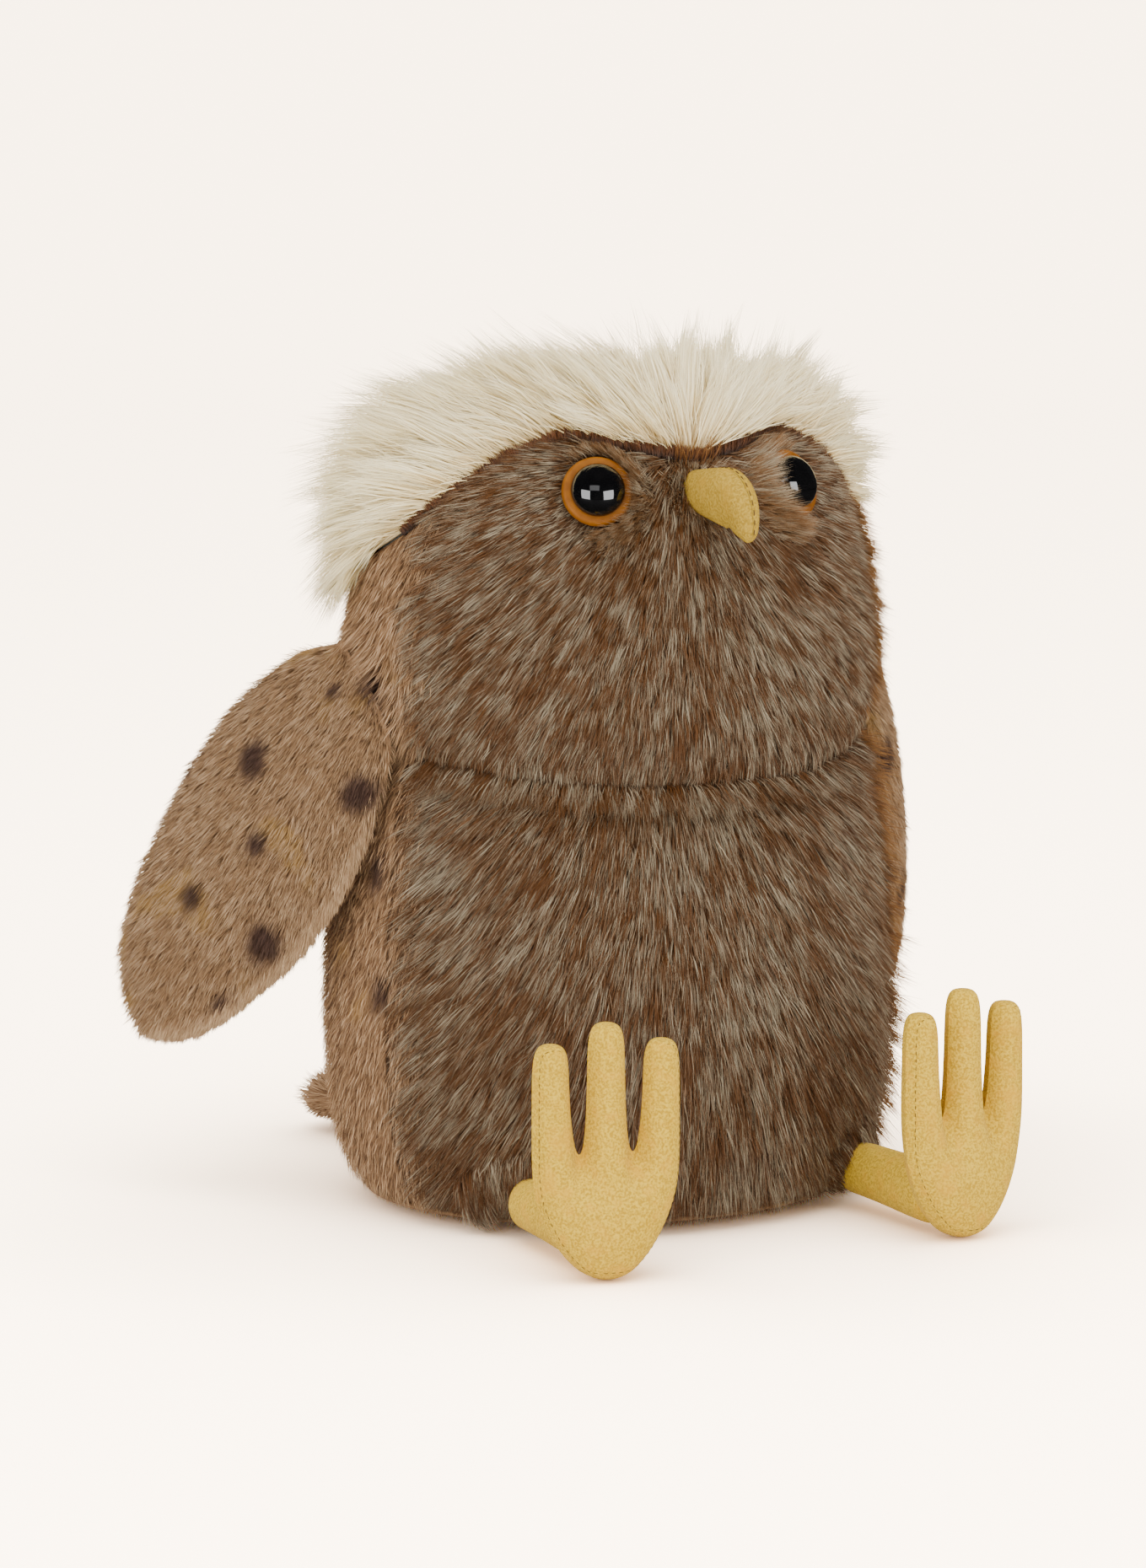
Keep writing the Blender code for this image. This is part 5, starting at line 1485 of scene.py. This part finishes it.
@dataclass
class Leaf:
    """Stuffed leaf: an edge loop round a middle, with a puffed panel on each side of its plane.

    A point is the middle, plus the rim by the sine of the fall, plus the outward direction by the
    puff and the cosine of the fall; the fall goes from the middle to the edge. Sine and cosine are
    raised to the fullness, which below 1 squares the section off.
    """

    edge: Callable[[Array], Array]
    middle: Array
    out: Array
    fullness: float = 1.0

    def surface(self, turn: Array, reach: Array, sign: float, puff: float,
                depth: float) -> tuple[Array, Array]:
        """Points and normals of one panel, at a depth under its outer face.

        Args:
            turn: Angle round the leaf.
            reach: Share of the way from the middle to the edge.
            sign: 1 for the outer panel, -1 for the inner one.
            puff: Height of the panel over the leaf's plane.
            depth: Depth under the outer face.

        Returns:
            Points and normals.
        """
        fall = (reach * math.pi / 2.0)[..., None]
        full = self.fullness
        sine, cosine = np.maximum(np.sin(fall), 1e-3), np.maximum(np.cos(fall), 1e-3)
        rim = self.edge(turn) - self.middle
        step = 0.02
        beside = self.edge(turn + step) - self.edge(turn - step)
        out = self.out * sign
        high = np.where(reach[..., None] > 0.999, 0.0, cosine ** full)
        points = self.middle + rim * np.sin(fall) ** full + out * puff * high
        down = rim * sine ** (full - 1.0) * cosine - out * puff * cosine ** (full - 1.0) * sine
        normals = unit(np.cross(down, beside))
        facing = np.sign((normals * (points - self.middle)).sum(-1, keepdims=True) + 1e-9)
        facing = np.where(fall < 0.05, np.sign((normals * out).sum(-1, keepdims=True)), facing)
        normals = normals * facing
        return points - normals * depth, normals


@dataclass
class Wing:
    """Long leaf-shaped wing, spotted outside and paler inside."""

    side: Side
    looks: Looks
    half_width: float = 31.5 * MM
    puffs: tuple[float, float] = (9.0 * MM, 6.5 * MM)
    root_depth: float = 1.3 * MM
    tip: tuple[float, float, float] = (112.0 * MM, 41.0 * MM, 41.0 * MM)
    front: Curve = Curve(((0.0, 0.0), (0.04, 0.30), (0.07, 0.56), (0.14, 0.88), (0.25, 1.0), (0.42, 1.05),
                          (0.60, 0.95), (0.78, 0.66), (0.90, 0.38), (0.97, 0.06), (1.0, -0.20)))
    rear: Curve = Curve(((0.0, 0.0), (0.09, 0.40), (0.31, 0.79), (0.51, 0.90), (0.70, 0.91),
                         (0.86, 0.78), (0.97, 0.45), (1.0, 0.20)))
    outer: Coat = Coat(29000, 4.8 * MM, 0.22 * MM, (54.0, 78.0), 2.0 * MM, 0.25, 9.0, 7.0, 51)
    inner: Coat = Coat(12000, 4.6 * MM, 0.24 * MM, (50.0, 76.0), 2.2 * MM, 0.28, 9.0, 8.0, 52)
    rim: Coat = Coat(9000, 4.6 * MM, 0.25 * MM, (52.0, 76.0), 2.4 * MM, 0.35, 9.0, 8.0, 53)
    spots: Rows = (
        (0.300, 0.150, 1.15), (0.235, -0.820, 1.1), (0.442, -0.230, 0.75), (0.632, 0.140, 0.85),
        (0.626, -0.630, 1.2), (0.818, -0.520, 1.05), (0.085, -0.200, 0.45), (0.42, 0.78, 0.4))
    spot_size: tuple[float, float] = (4.3 * MM, 5.3 * MM)

    def axes(self) -> tuple[Array, Array, Array, Array, float]:
        """Top of the wing, its direction down, out and rear, and its length."""
        mirror = self.side.mirror
        top, foot = HEAD.spot(*WING_TOP, -2.6 * MM) * mirror, BODY.spot(*WING_FOOT, -5.2 * MM) * mirror
        tip = np.array(self.tip) * mirror
        down = unit(tip - top)
        out = unit(np.cross(foot - top, down))
        out = -out if out[0] * self.side.sign < 0.0 else out
        return top, down, out, np.cross(out, down) * self.side.sign, float(np.linalg.norm(tip - top))

    def leaf(self) -> Leaf:
        """The wing's edge, middle and plane."""
        top, down, out, rear, length = self.axes()

        def edge(turn: Array) -> Array:
            """Edge of the wing: from the root at 0 along the front to the tip, and back along the rear."""
            share = (1.0 - np.cos(turn)) / 2.0
            width = np.where(np.sin(turn) >= 0.0, -self.front.at(share), self.rear.at(share))
            return top + down * length * share[..., None] + rear * self.half_width * width[..., None]

        return Leaf(edge, top + down * length * 0.45 - rear * self.half_width * 0.08, out)

    def build(self) -> None:
        """Build the two cloths and their piles."""
        word, body = self.side.word, f"wing_{self.side.word}"
        top, down, out, rear, length = self.axes()
        leaf = self.leaf()
        turn, reach = disc_grid(81)
        places = np.array(self.spots)
        middles = top + down * length * places[:, :1] + rear * self.half_width * places[:, 1:2]
        spots = Spots(middles, places[:, 2], *self.spot_size)
        pale_with_painted_shadow = self.rim_share(turn, reach)
        # The outer pile takes the tan pile painted darker, for the wings' greater light.
        for panel, sign, puff, spotted, piles in (
                ("outer", 1.0, self.puffs[0], 1.0,
                 (("outer", self.outer, "darkened_wing_fur", 1.0, 1.0 - pale_with_painted_shadow),
                  ("rim", self.rim, "pale_fur", 0.0, pale_with_painted_shadow))),
                ("inner", -1.0, self.puffs[1], 0.0, (("inner", self.inner, "pale_fur", 0.0, 1.0),))):
            points, normals = leaf.surface(turn, reach, sign, puff, self.root_depth)
            away = points - leaf.middle
            flat = points - (away * out).sum(-1, keepdims=True) * out
            mask = spots.mask(flat, down) * spotted
            lay_cloth(f"{body}_{panel}_cloth", points, self.looks["tan_cloth"], f"{body}_{panel}_panel", body,
                      mask, 0.8 * MM)
            spread = (away * rear).sum(-1, keepdims=True) / self.half_width
            flow = down + rear * spread * (0.3 + 0.5 * ease(0.8, 1.0, reach))[..., None]
            for name, coat, look, share, density in piles:
                patch = Patch.make(points, normals, flow, 1.0, mask * share, density)
                cover(f"{body}_{name}_fur", patch, coat.on(self.side), self.looks[look], body)
        LOG.info("%s wing is dressed", word)

    def rim_share(self, turn: Array, reach: Array) -> Array:
        """Share of pale pile at a place of the outer panel: a band along the front edge."""
        front = ease(0.10, 0.35, np.sin(turn)) * ease(0.9, 1.7, turn)
        return ease(0.70, 0.86, reach) * front


@dataclass
class Tail:
    """Plump wedge tail that lies behind the owl."""

    looks: Looks
    length: float = 50.0 * MM
    half_width: float = 41.0 * MM
    root_height: float = 10.8 * MM
    puffs: tuple[float, float] = (9.4 * MM, 7.0 * MM)
    droop: float = math.radians(3.5)
    widths: Curve = Curve(((0.0, 0.58), (0.10, 0.66), (0.35, 0.80), (0.62, 0.95), (0.80, 1.0),
                           (0.92, 0.84), (0.98, 0.50), (1.0, 0.0)))
    fullness: float = 0.62
    coat: Coat = Coat(12000, 6.0 * MM, 0.25 * MM, (46.0, 70.0), 2.0 * MM, 0.25, 9.0, 8.0, 61)

    def leaf(self) -> Leaf:
        """The tail's edge, middle and plane."""
        root = BODY.spot(180.0, BODY.along_at(self.root_height, BODY.back), -0.3 * MM)
        back = np.array([0.0, math.cos(self.droop), -math.sin(self.droop)])
        up = np.array([0.0, math.sin(self.droop), math.cos(self.droop)])

        def edge(turn: Array) -> Array:
            """Edge of the tail: two like sides from the root to the tip."""
            share, side = (1.0 - np.cos(turn)) / 2.0, np.sin(turn)
            width = self.widths.at(share) * self.half_width * np.sign(side) * ease(0.0, 0.16, np.abs(side))
            return root + back * self.length * share[..., None] + ACROSS * width[..., None]

        return Leaf(edge, root + back * self.length * 0.5, up, self.fullness)

    def build(self) -> None:
        """Build the two cloths and their piles."""
        leaf = self.leaf()
        turn, reach = disc_grid(61)
        for panel, sign, puff, length in (("upper", 1.0, self.puffs[0], 1.0),
                                          ("lower", -1.0, self.puffs[1], 0.45)):
            points, normals = leaf.surface(turn, reach, sign, puff, 1.3 * MM)
            points[..., 2] = np.maximum(points[..., 2], 1.2 * MM)
            lay_cloth(f"tail_{panel}_cloth", points, self.looks["tan_cloth"], f"tail_{panel}_panel", "tail",
                      thickness=0.8 * MM, every=1)
            flow = np.broadcast_to(np.array([0.0, 1.0, -0.1]), points.shape)
            coat = replace(self.coat, seed=self.coat.seed + int(sign))
            patch = Patch.make(points, normals, flow, length)
            cover(f"tail_{panel}_fur", patch, coat, self.looks["tan_fur"], "tail")


# Legs


@dataclass
class Leg:
    """Suede leg with a three-toed foot, sewn of a sole and an instep."""

    side: Side
    looks: Looks
    hip_azimuth: float = 39.0
    hip_height: float = 8.6 * MM
    hip_radius: float = 7.6 * MM
    hip_shift: float = 1.6 * MM
    hip_stand: float = 5.0 * MM
    root_share: float = -0.38
    root_bend: float = 6.5 * MM
    root_rise: float = 5.0 * MM
    hip_rise: float = 1.0 * MM
    ankle_radius: float = 7.6 * MM
    ankle_height: float = 9.4 * MM
    leg_length: float = 35.5 * MM
    leg_splay: float = 5.0
    girths: Curve = Curve(((-0.38, 0.1), (-0.36, 0.24), (-0.30, 0.44), (-0.18, 0.70), (0.0, 0.93), (0.5, 1.0),
                           (1.0, 1.08), (1.08, 1.0), (1.13, 0.7), (1.16, 0.25)))
    fringe: Coat = Coat(4200, 10.5 * MM, 0.21 * MM, (34.0, 76.0), 1.7 * MM, 0.30, 10.0, 9.0, 71)
    foot_splay: float = 10.0
    foot_front: float = 5.47 * MM
    foot_lap: float = 3.4 * MM
    palm_rows: Rows = (
        (0.0, 5.4 * MM, 0.0), (0.6 * MM, 7.0 * MM, 5.6 * MM), (7.6 * MM, 12.4 * MM, 8.4 * MM),
        (16.5 * MM, 17.0 * MM, 8.8 * MM), (23.0 * MM, 18.8 * MM, 7.6 * MM))
    heel_lift: float = 1.7 * MM
    toe_base: float = 31.2 * MM
    toe_tips: tuple[float, float, float] = (59.9 * MM, 64.6 * MM, 59.9 * MM)
    toe_radii: tuple[float, float, float] = (4.8 * MM, 4.9 * MM, 4.8 * MM)
    toe_spread: float = 14.4 * MM
    toe_depth: float = 5.6 * MM
    stitch_pitch: float = 2.0 * MM
    stitch_inset: float = 1.1 * MM

    def points(self) -> tuple[Array, ...]:
        """Hip, ankle and the middle of the foot's heel."""
        hip = BODY.spot(self.hip_azimuth, BODY.along_at(self.hip_height), -self.hip_stand)
        hip[2] = self.hip_height
        ankle = hip + heading(self.leg_splay) * self.leg_length
        ankle[2] = self.ankle_height
        heel = ankle + heading(self.foot_splay) * (self.foot_front + self.ankle_radius - self.foot_lap)
        heel[2] = 0.0
        return tuple(place * self.side.mirror for place in (hip, ankle, heel))

    def build_sleeve(self) -> None:
        """Leg: rings along the line from inside the trunk to inside the foot, a little flattened below."""
        word, sign = self.side.word, self.side.sign
        hip, ankle, _ = self.points()
        hip = hip + ACROSS * (sign * self.hip_shift)
        way, length = unit(ankle - hip), float(np.linalg.norm(ankle - hip))
        share = np.concatenate([self.root_share * np.cos(np.linspace(0.0, math.pi / 2.0, 12)),
                                np.linspace(0.0, 1.0, 40)[1:],
                                1.0 + 0.16 * np.sin(np.linspace(0.0, math.pi / 2.0, 8))[1:]])
        girth = self.girths.at(share) * self.hip_radius
        inward = np.maximum(share / self.root_share, 0.0) ** 1.5
        middle = hip + way * (share * length)[:, None]
        middle[:, 0] -= sign * self.root_bend * inward
        middle[:, 2] += self.root_rise * inward + self.hip_rise * ease(1.0, 0.0, share)
        angle = np.linspace(0.0, FULL_TURN, 48, endpoint=False)[:, None]
        flatter = np.where(np.sin(angle) < 0.0, 0.93, 1.0)
        ring = unit(np.cross(way, UP)) * np.cos(angle) + UP * (np.sin(angle) * flatter)
        points = middle[:, None] + ring[None] * girth[:, None, None]
        finish = self.looks["yellow_suede_nap"]
        piece = grid_piece(f"leg_{word}_suede", points, finish, around=True, caps=(True, True))
        label(piece, f"leg_{word}_sleeve")
        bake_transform(piece)
        self.build_fringe(hip, way)

    def build_fringe(self, hip: Array, way: Array) -> None:
        """Brown pile of the belly that stands out round the leg's root and falls over it.

        Args:
            hip: Point on the leg's middle line, at its root.
            way: Direction of the leg.
        """
        span = tuple(self.side.sign * math.radians(angle) for angle in (26.0, 58.0))
        sheet = Sheet.on(BODY, span, (0.03, 0.20), (33, 23), 1.8 * MM)
        off = sheet.points - hip
        off = off - (off @ way)[..., None] * way
        away = np.linalg.norm(off, axis=-1)
        bare = (away < self.hip_radius - 1.0 * MM) | (away > 15.0 * MM)
        patch = sheet.patch(sheet.lie(-0.5) - unit(off), density=np.where(bare, 0.0, 1.0))
        name = f"leg_{self.side.word}_fringe"
        cover(name, patch, self.fringe.on(self.side), self.looks["brown_fur"])

    def cage(self) -> tuple[Array, list[tuple[int, ...]], list[int]]:
        """Coarse cage of the foot's front half, in the foot's own places.

        Five columns run up each toe and on down the palm, so a row has fifteen points. A toe's
        columns lie on a half circle; the palm's rows are domed by the root of one minus the power
        2.4 of the share across.

        Returns:
            Points, faces, and the numbers of the edge points in their order round the foot.
        """
        toe, wide = 5, 15
        turn = np.linspace(0.0, math.pi, toe)
        radii, tips = np.repeat(self.toe_radii, toe), np.repeat(self.toe_tips, toe)
        centres = np.repeat(np.array([-1.0, 0.0, 1.0]) * self.toe_spread, toe)
        aside, ahead = np.tile(-np.cos(turn), 3), np.tile(np.sin(turn), 3)
        base_x = centres + aside * radii
        share = base_x / np.abs(base_x).max()
        dome = np.sqrt(1.0 - np.abs(share) ** 2.4)
        rows = [np.stack([share * width, -dome * depth,
                          height + share ** 2 * self.heel_lift * (height < 1.0 * MM)], -1)
                for height, width, depth in self.palm_rows]
        root_x = centres * 0.955 + aside * radii * 1.16
        rows.append(np.stack([root_x, -ahead * self.toe_depth * 1.15, np.full(wide, self.toe_base)], -1))
        for girth, height in ((1.0, mix(self.toe_base, tips, 0.5)), (1.0, tips - 5.2 * MM),
                              (0.80, tips - 0.5 * MM)):
            x, y = centres + aside * radii * girth, -ahead * self.toe_depth * girth
            rows.append(np.stack([x, y, height], -1))
        ends = np.stack([centres[::toe], np.zeros(3), np.array(self.toe_tips) + 0.5 * MM], -1)
        points = np.vstack([*rows, ends])
        last, high = len(self.palm_rows), len(rows)
        faces = [(r * wide + c, r * wide + c + 1, (r + 1) * wide + c + 1, (r + 1) * wide + c)
                 for r in range(high - 1) for c in range(wide - 1) if r < last or c % toe != toe - 1]
        top = (high - 1) * wide
        faces += [(top + c, top + c + 1, high * wide + c // toe) for c in range(wide) if c % toe != toe - 1]
        rim = [r * wide for r in range(last + 1)]
        for number in range(3):
            rise = [r * wide + number * toe for r in range(last + 1, high)]
            rim += ([last * wide + number * toe] if number else []) + rise + [high * wide + number]
            rim += [low + toe - 1 for low in reversed(rise)] + [last * wide + number * toe + toe - 1]
        rim += [r * wide + wide - 1 for r in range(last - 1, -1, -1)]
        return points, faces, rim

    def build_foot(self) -> None:
        """Foot: two rounded halves on the cage, with stitches inside the edge of the sole."""
        heel, body = self.points()[2], f"foot_{self.side.word}"
        turn = Matrix.Rotation(self.side.sign * math.radians(self.foot_splay), 4, "Z")
        place = np.array(Matrix.Translation(Vector(heel)) @ turn)
        cage, faces, rim = self.cage()
        totals = np.array([len(face) for face in faces])
        for panel, sign in (("sole", 1.0), ("instep", -1.0)):
            points = (cage * np.array([1.0, sign, 1.0])) @ place[:3, :3].T + place[:3, 3]
            loops = np.concatenate([face[::int(sign)] for face in faces])
            piece = lay_mesh(f"{body}_{panel}", points, loops, totals, self.looks["yellow_suede_nap"])
            rounding = piece.modifiers.new("rounding", "SUBSURF")
            rounding.levels = rounding.render_levels = 3
            settle(piece, body, f"{body}_{panel}_panel")
            if sign > 0.0:
                self.build_stitches(piece, cage[rim], place)

    def build_stitches(self, sole: Piece, rim: Array, place: Array) -> None:
        """Row of stitches laid on the sole, just inside the smooth outer edge that the rim's points pull out.

        Args:
            sole: The sole's piece.
            rim: Edge points of the cage, in the foot's own places.
            place: Matrix that puts the foot in the scene.
        """
        before, after, beyond = (np.roll(rim, shift, 0) for shift in (1, -1, -2))
        t = np.linspace(0.0, 1.0, 12, endpoint=False)[:, None, None]
        curve = ((1 - t) ** 3 * before + (3 * t ** 3 - 6 * t * t + 4) * rim
                 + (-3 * t ** 3 + 3 * t * t + 3 * t + 1) * after + t ** 3 * beyond) / 6.0
        curve = curve.transpose(1, 0, 2).reshape(-1, 3)
        travel = np.concatenate([[0.0], np.cumsum(np.linalg.norm(np.diff(curve, axis=0), axis=1))])
        starts = np.arange(0.0, travel[-1], self.stitch_pitch)
        ends = []
        for offset in (0.0, 0.55 * self.stitch_pitch):
            here, ahead = (np.stack([np.interp(starts + shift, travel, curve[:, i]) for i in (0, 2)], -1)
                           for shift in (offset, offset + 0.3 * MM))
            way = unit(ahead - here)
            ends.append(np.stack([here[:, 0] + way[:, 1] * self.stitch_inset, np.zeros(len(here)),
                                  here[:, 1] - way[:, 0] * self.stitch_inset], -1))
        tree = BVHTree.FromObject(sole, bpy.context.evaluated_depsgraph_get())
        turn, shift = place[:3, :3], place[:3, 3]
        back = np.array([0.0, 30.0 * MM, 0.0])
        ahead = Vector(turn @ unit(back))
        outside = (np.abs(ends[0][:, 0]) > self.toe_spread - 1.0 * MM) | (ends[0][:, 2] < self.toe_base * 0.7)
        found = []
        for pair in np.stack(ends, 1)[outside]:
            hits = [tree.ray_cast(Vector(turn @ (end - back) + shift), ahead)[0] for end in pair]
            if None not in hits:
                found.append([np.array(hit) for hit in hits])
        starts, ends = np.array(found).transpose(1, 0, 2)
        body = f"foot_{self.side.word}"
        piece = stitch_piece(f"{body}_stitches", starts, ends, 0.12 * MM, self.looks["seam_thread"])
        settle(piece, body)

    def build(self) -> None:
        """Build the leg and the foot."""
        self.build_sleeve()
        self.build_foot()


# Inside, studio and main


def dress_inside(looks: Looks) -> None:
    """Give the hidden CAD nodes their cloth, filling and plastic."""
    insides = {"stuffing": "fibre_filling", "washer": "washer_white", "bag": "pellet_lining"}
    for name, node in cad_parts.items():
        look = insides.get(name.rsplit("_", 1)[-1])
        if look is not None:
            node.data.materials.clear()
            node.data.materials.append(looks[look])
            LOG.info("%s keeps its shape, in %s", name, look)


@dataclass
class Studio:
    """Pale floor with a low curved rim, soft lights, and the camera of the photograph."""

    camera_place: tuple[float, float, float] = (
        -math.sin(math.radians(28.0)) * 1.4, -math.cos(math.radians(28.0)) * 1.4, 0.30205)
    camera_azimuth: float = math.radians(27.657)
    camera_pitch: float = math.radians(7.862)
    focal_pixels: float = 6298.5
    sensor: float = 36.0
    flat_radius: float = 3.0
    rim_radius: float = 0.7
    floor_steps: int = 96
    aim: tuple[float, float, float] = (0.0, 0.0, 0.1)
    lights: tuple[tuple, ...] = (
        ("top_light", (-0.3, -0.5, 1.6), (1.6, 1.0), 14.5, False),
        ("top_card", (-0.9, -1.5, 1.2), (0.9, 0.5), 1.2, True),
        ("left_light", (-1.80, -1.05, 0.42), (1.15, 1.15), 18.0, True),
        ("right_light", (0.35, -2.0, 0.36), (1.15, 1.15), 20.0, True))

    def place(self, data: bpy.types.ID, where: tuple[float, float, float], look: Vector) -> Piece:
        """Put a camera or a light into the scene, looking along a direction."""
        made = bpy.data.objects.new(data.name, data)
        made.location = where
        made.rotation_euler = look.to_track_quat("-Z", "Y").to_euler()
        bpy.context.scene.collection.objects.link(made)
        return made

    def build_camera(self) -> None:
        """Camera at the photograph's place, fitted to its frame."""
        data = bpy.data.cameras.new("photo_camera")
        data.sensor_width = self.sensor
        data.lens = self.focal_pixels / PHOTO_HEIGHT * self.sensor
        data.clip_start, data.clip_end = 0.05, 50.0
        flat = math.cos(self.camera_pitch)
        look = Vector((math.sin(self.camera_azimuth) * flat, math.cos(self.camera_azimuth) * flat,
                       -math.sin(self.camera_pitch)))
        bpy.context.scene.camera = self.place(data, self.camera_place, look)

    def floor_finish(self) -> Material:
        """Pale floor that the camera sees bright, with a painted soft shadow where ambient occlusion finds
        little sky open over it.
        """
        made = bpy.data.materials.new("pale_floor")
        made.use_nodes = True
        nodes, tree = made.node_tree.nodes, Tree(made.node_tree)
        shader = nodes["Principled BSDF"]
        gloss, camera = (tree.add("LightPath").outputs[f"Is {ray} Ray"] for ray in ("Glossy", "Camera"))
        colour = tree.mix(gloss, linear((245, 240, 232)), linear((24, 23, 22)))
        tree.put(colour, shader.inputs["Base Color"])
        tree.put(0.9, shader.inputs["Roughness"])
        # Painted shadow: ambient occlusion darkens the floor's colour for camera rays near the owl.
        painted_shadow_open_share = tree.add("AmbientOcclusion", {"Distance": 0.13}, samples=8).outputs["AO"]
        pale_with_painted_shadow = tree.mix(tree.maths("POWER", painted_shadow_open_share, 1.5), (1.7, 1.28, 0.93), (5.0, 4.1, 3.15))
        bright = tree.add("BsdfDiffuse", {"Color": pale_with_painted_shadow})
        seen = tree.add("MixShader", {0: camera, 1: shader.outputs[0], 2: bright.outputs[0]})
        tree.put(seen.outputs[0], nodes["Material Output"].inputs[0])
        return made

    def build_floor(self) -> None:
        """Floor turned about Z: flat, then a quarter circle up to a low rim."""
        bend = np.linspace(0.0, math.pi / 2.0, 16)
        radii = np.concatenate([[0.05, 0.6, 1.5, 2.4], self.flat_radius + self.rim_radius * np.sin(bend)])
        heights = np.concatenate([np.zeros(4), self.rim_radius * (1.0 - np.cos(bend))]) - 0.2 * MM
        turn = np.linspace(0.0, FULL_TURN, self.floor_steps, endpoint=False)
        points = np.stack(np.broadcast_arrays(radii[:, None] * np.cos(turn), radii[:, None] * np.sin(turn),
                                              heights[:, None]), -1)
        grid_piece("studio_floor", points, self.floor_finish(), around=True, caps=(True, False))

    def build_lights(self) -> None:
        """Soft rectangular lights aimed at the owl."""
        for name, where, size, power, in_gloss in self.lights:
            data = bpy.data.lights.new(name, "AREA")
            data.shape = "RECTANGLE"
            data.size, data.size_y = size
            data.energy = power
            self.place(data, where, Vector(self.aim) - Vector(where)).visible_glossy = in_gloss

    def build_world(self) -> None:
        """Pale surroundings, dark in reflections."""
        world = bpy.data.worlds.new("studio")
        world.use_nodes = True
        tree, back = Tree(world.node_tree), world.node_tree.nodes["Background"]
        gloss = tree.add("LightPath").outputs["Is Glossy Ray"]
        tree.put(tree.mix(gloss, (1.0, 0.975, 0.94), (0.012, 0.012, 0.012)), back.inputs[0])
        tree.put(1.5, back.inputs[1])
        bpy.context.scene.world = world

    def build(self) -> None:
        """Build the camera, the floor, the lights and the surroundings."""
        self.build_camera()
        self.build_floor()
        self.build_world()
        self.build_lights()


def main() -> None:
    """Build the sub-assemblies in order."""
    logging.basicConfig(level=logging.INFO, format="%(name)s: %(message)s")
    looks = {name: finish.build() for name, finish in FINISHES.items()}
    Trunk(looks).build()
    Head(looks).build()
    for side in Side:
        Eye(side, looks).build()
        Wing(side, looks).build()
        Leg(side, looks).build()
    Beak(looks).build()
    Tail(looks).build()
    dress_inside(looks)
    Studio().build()


if __name__ == "__main__":
    main()
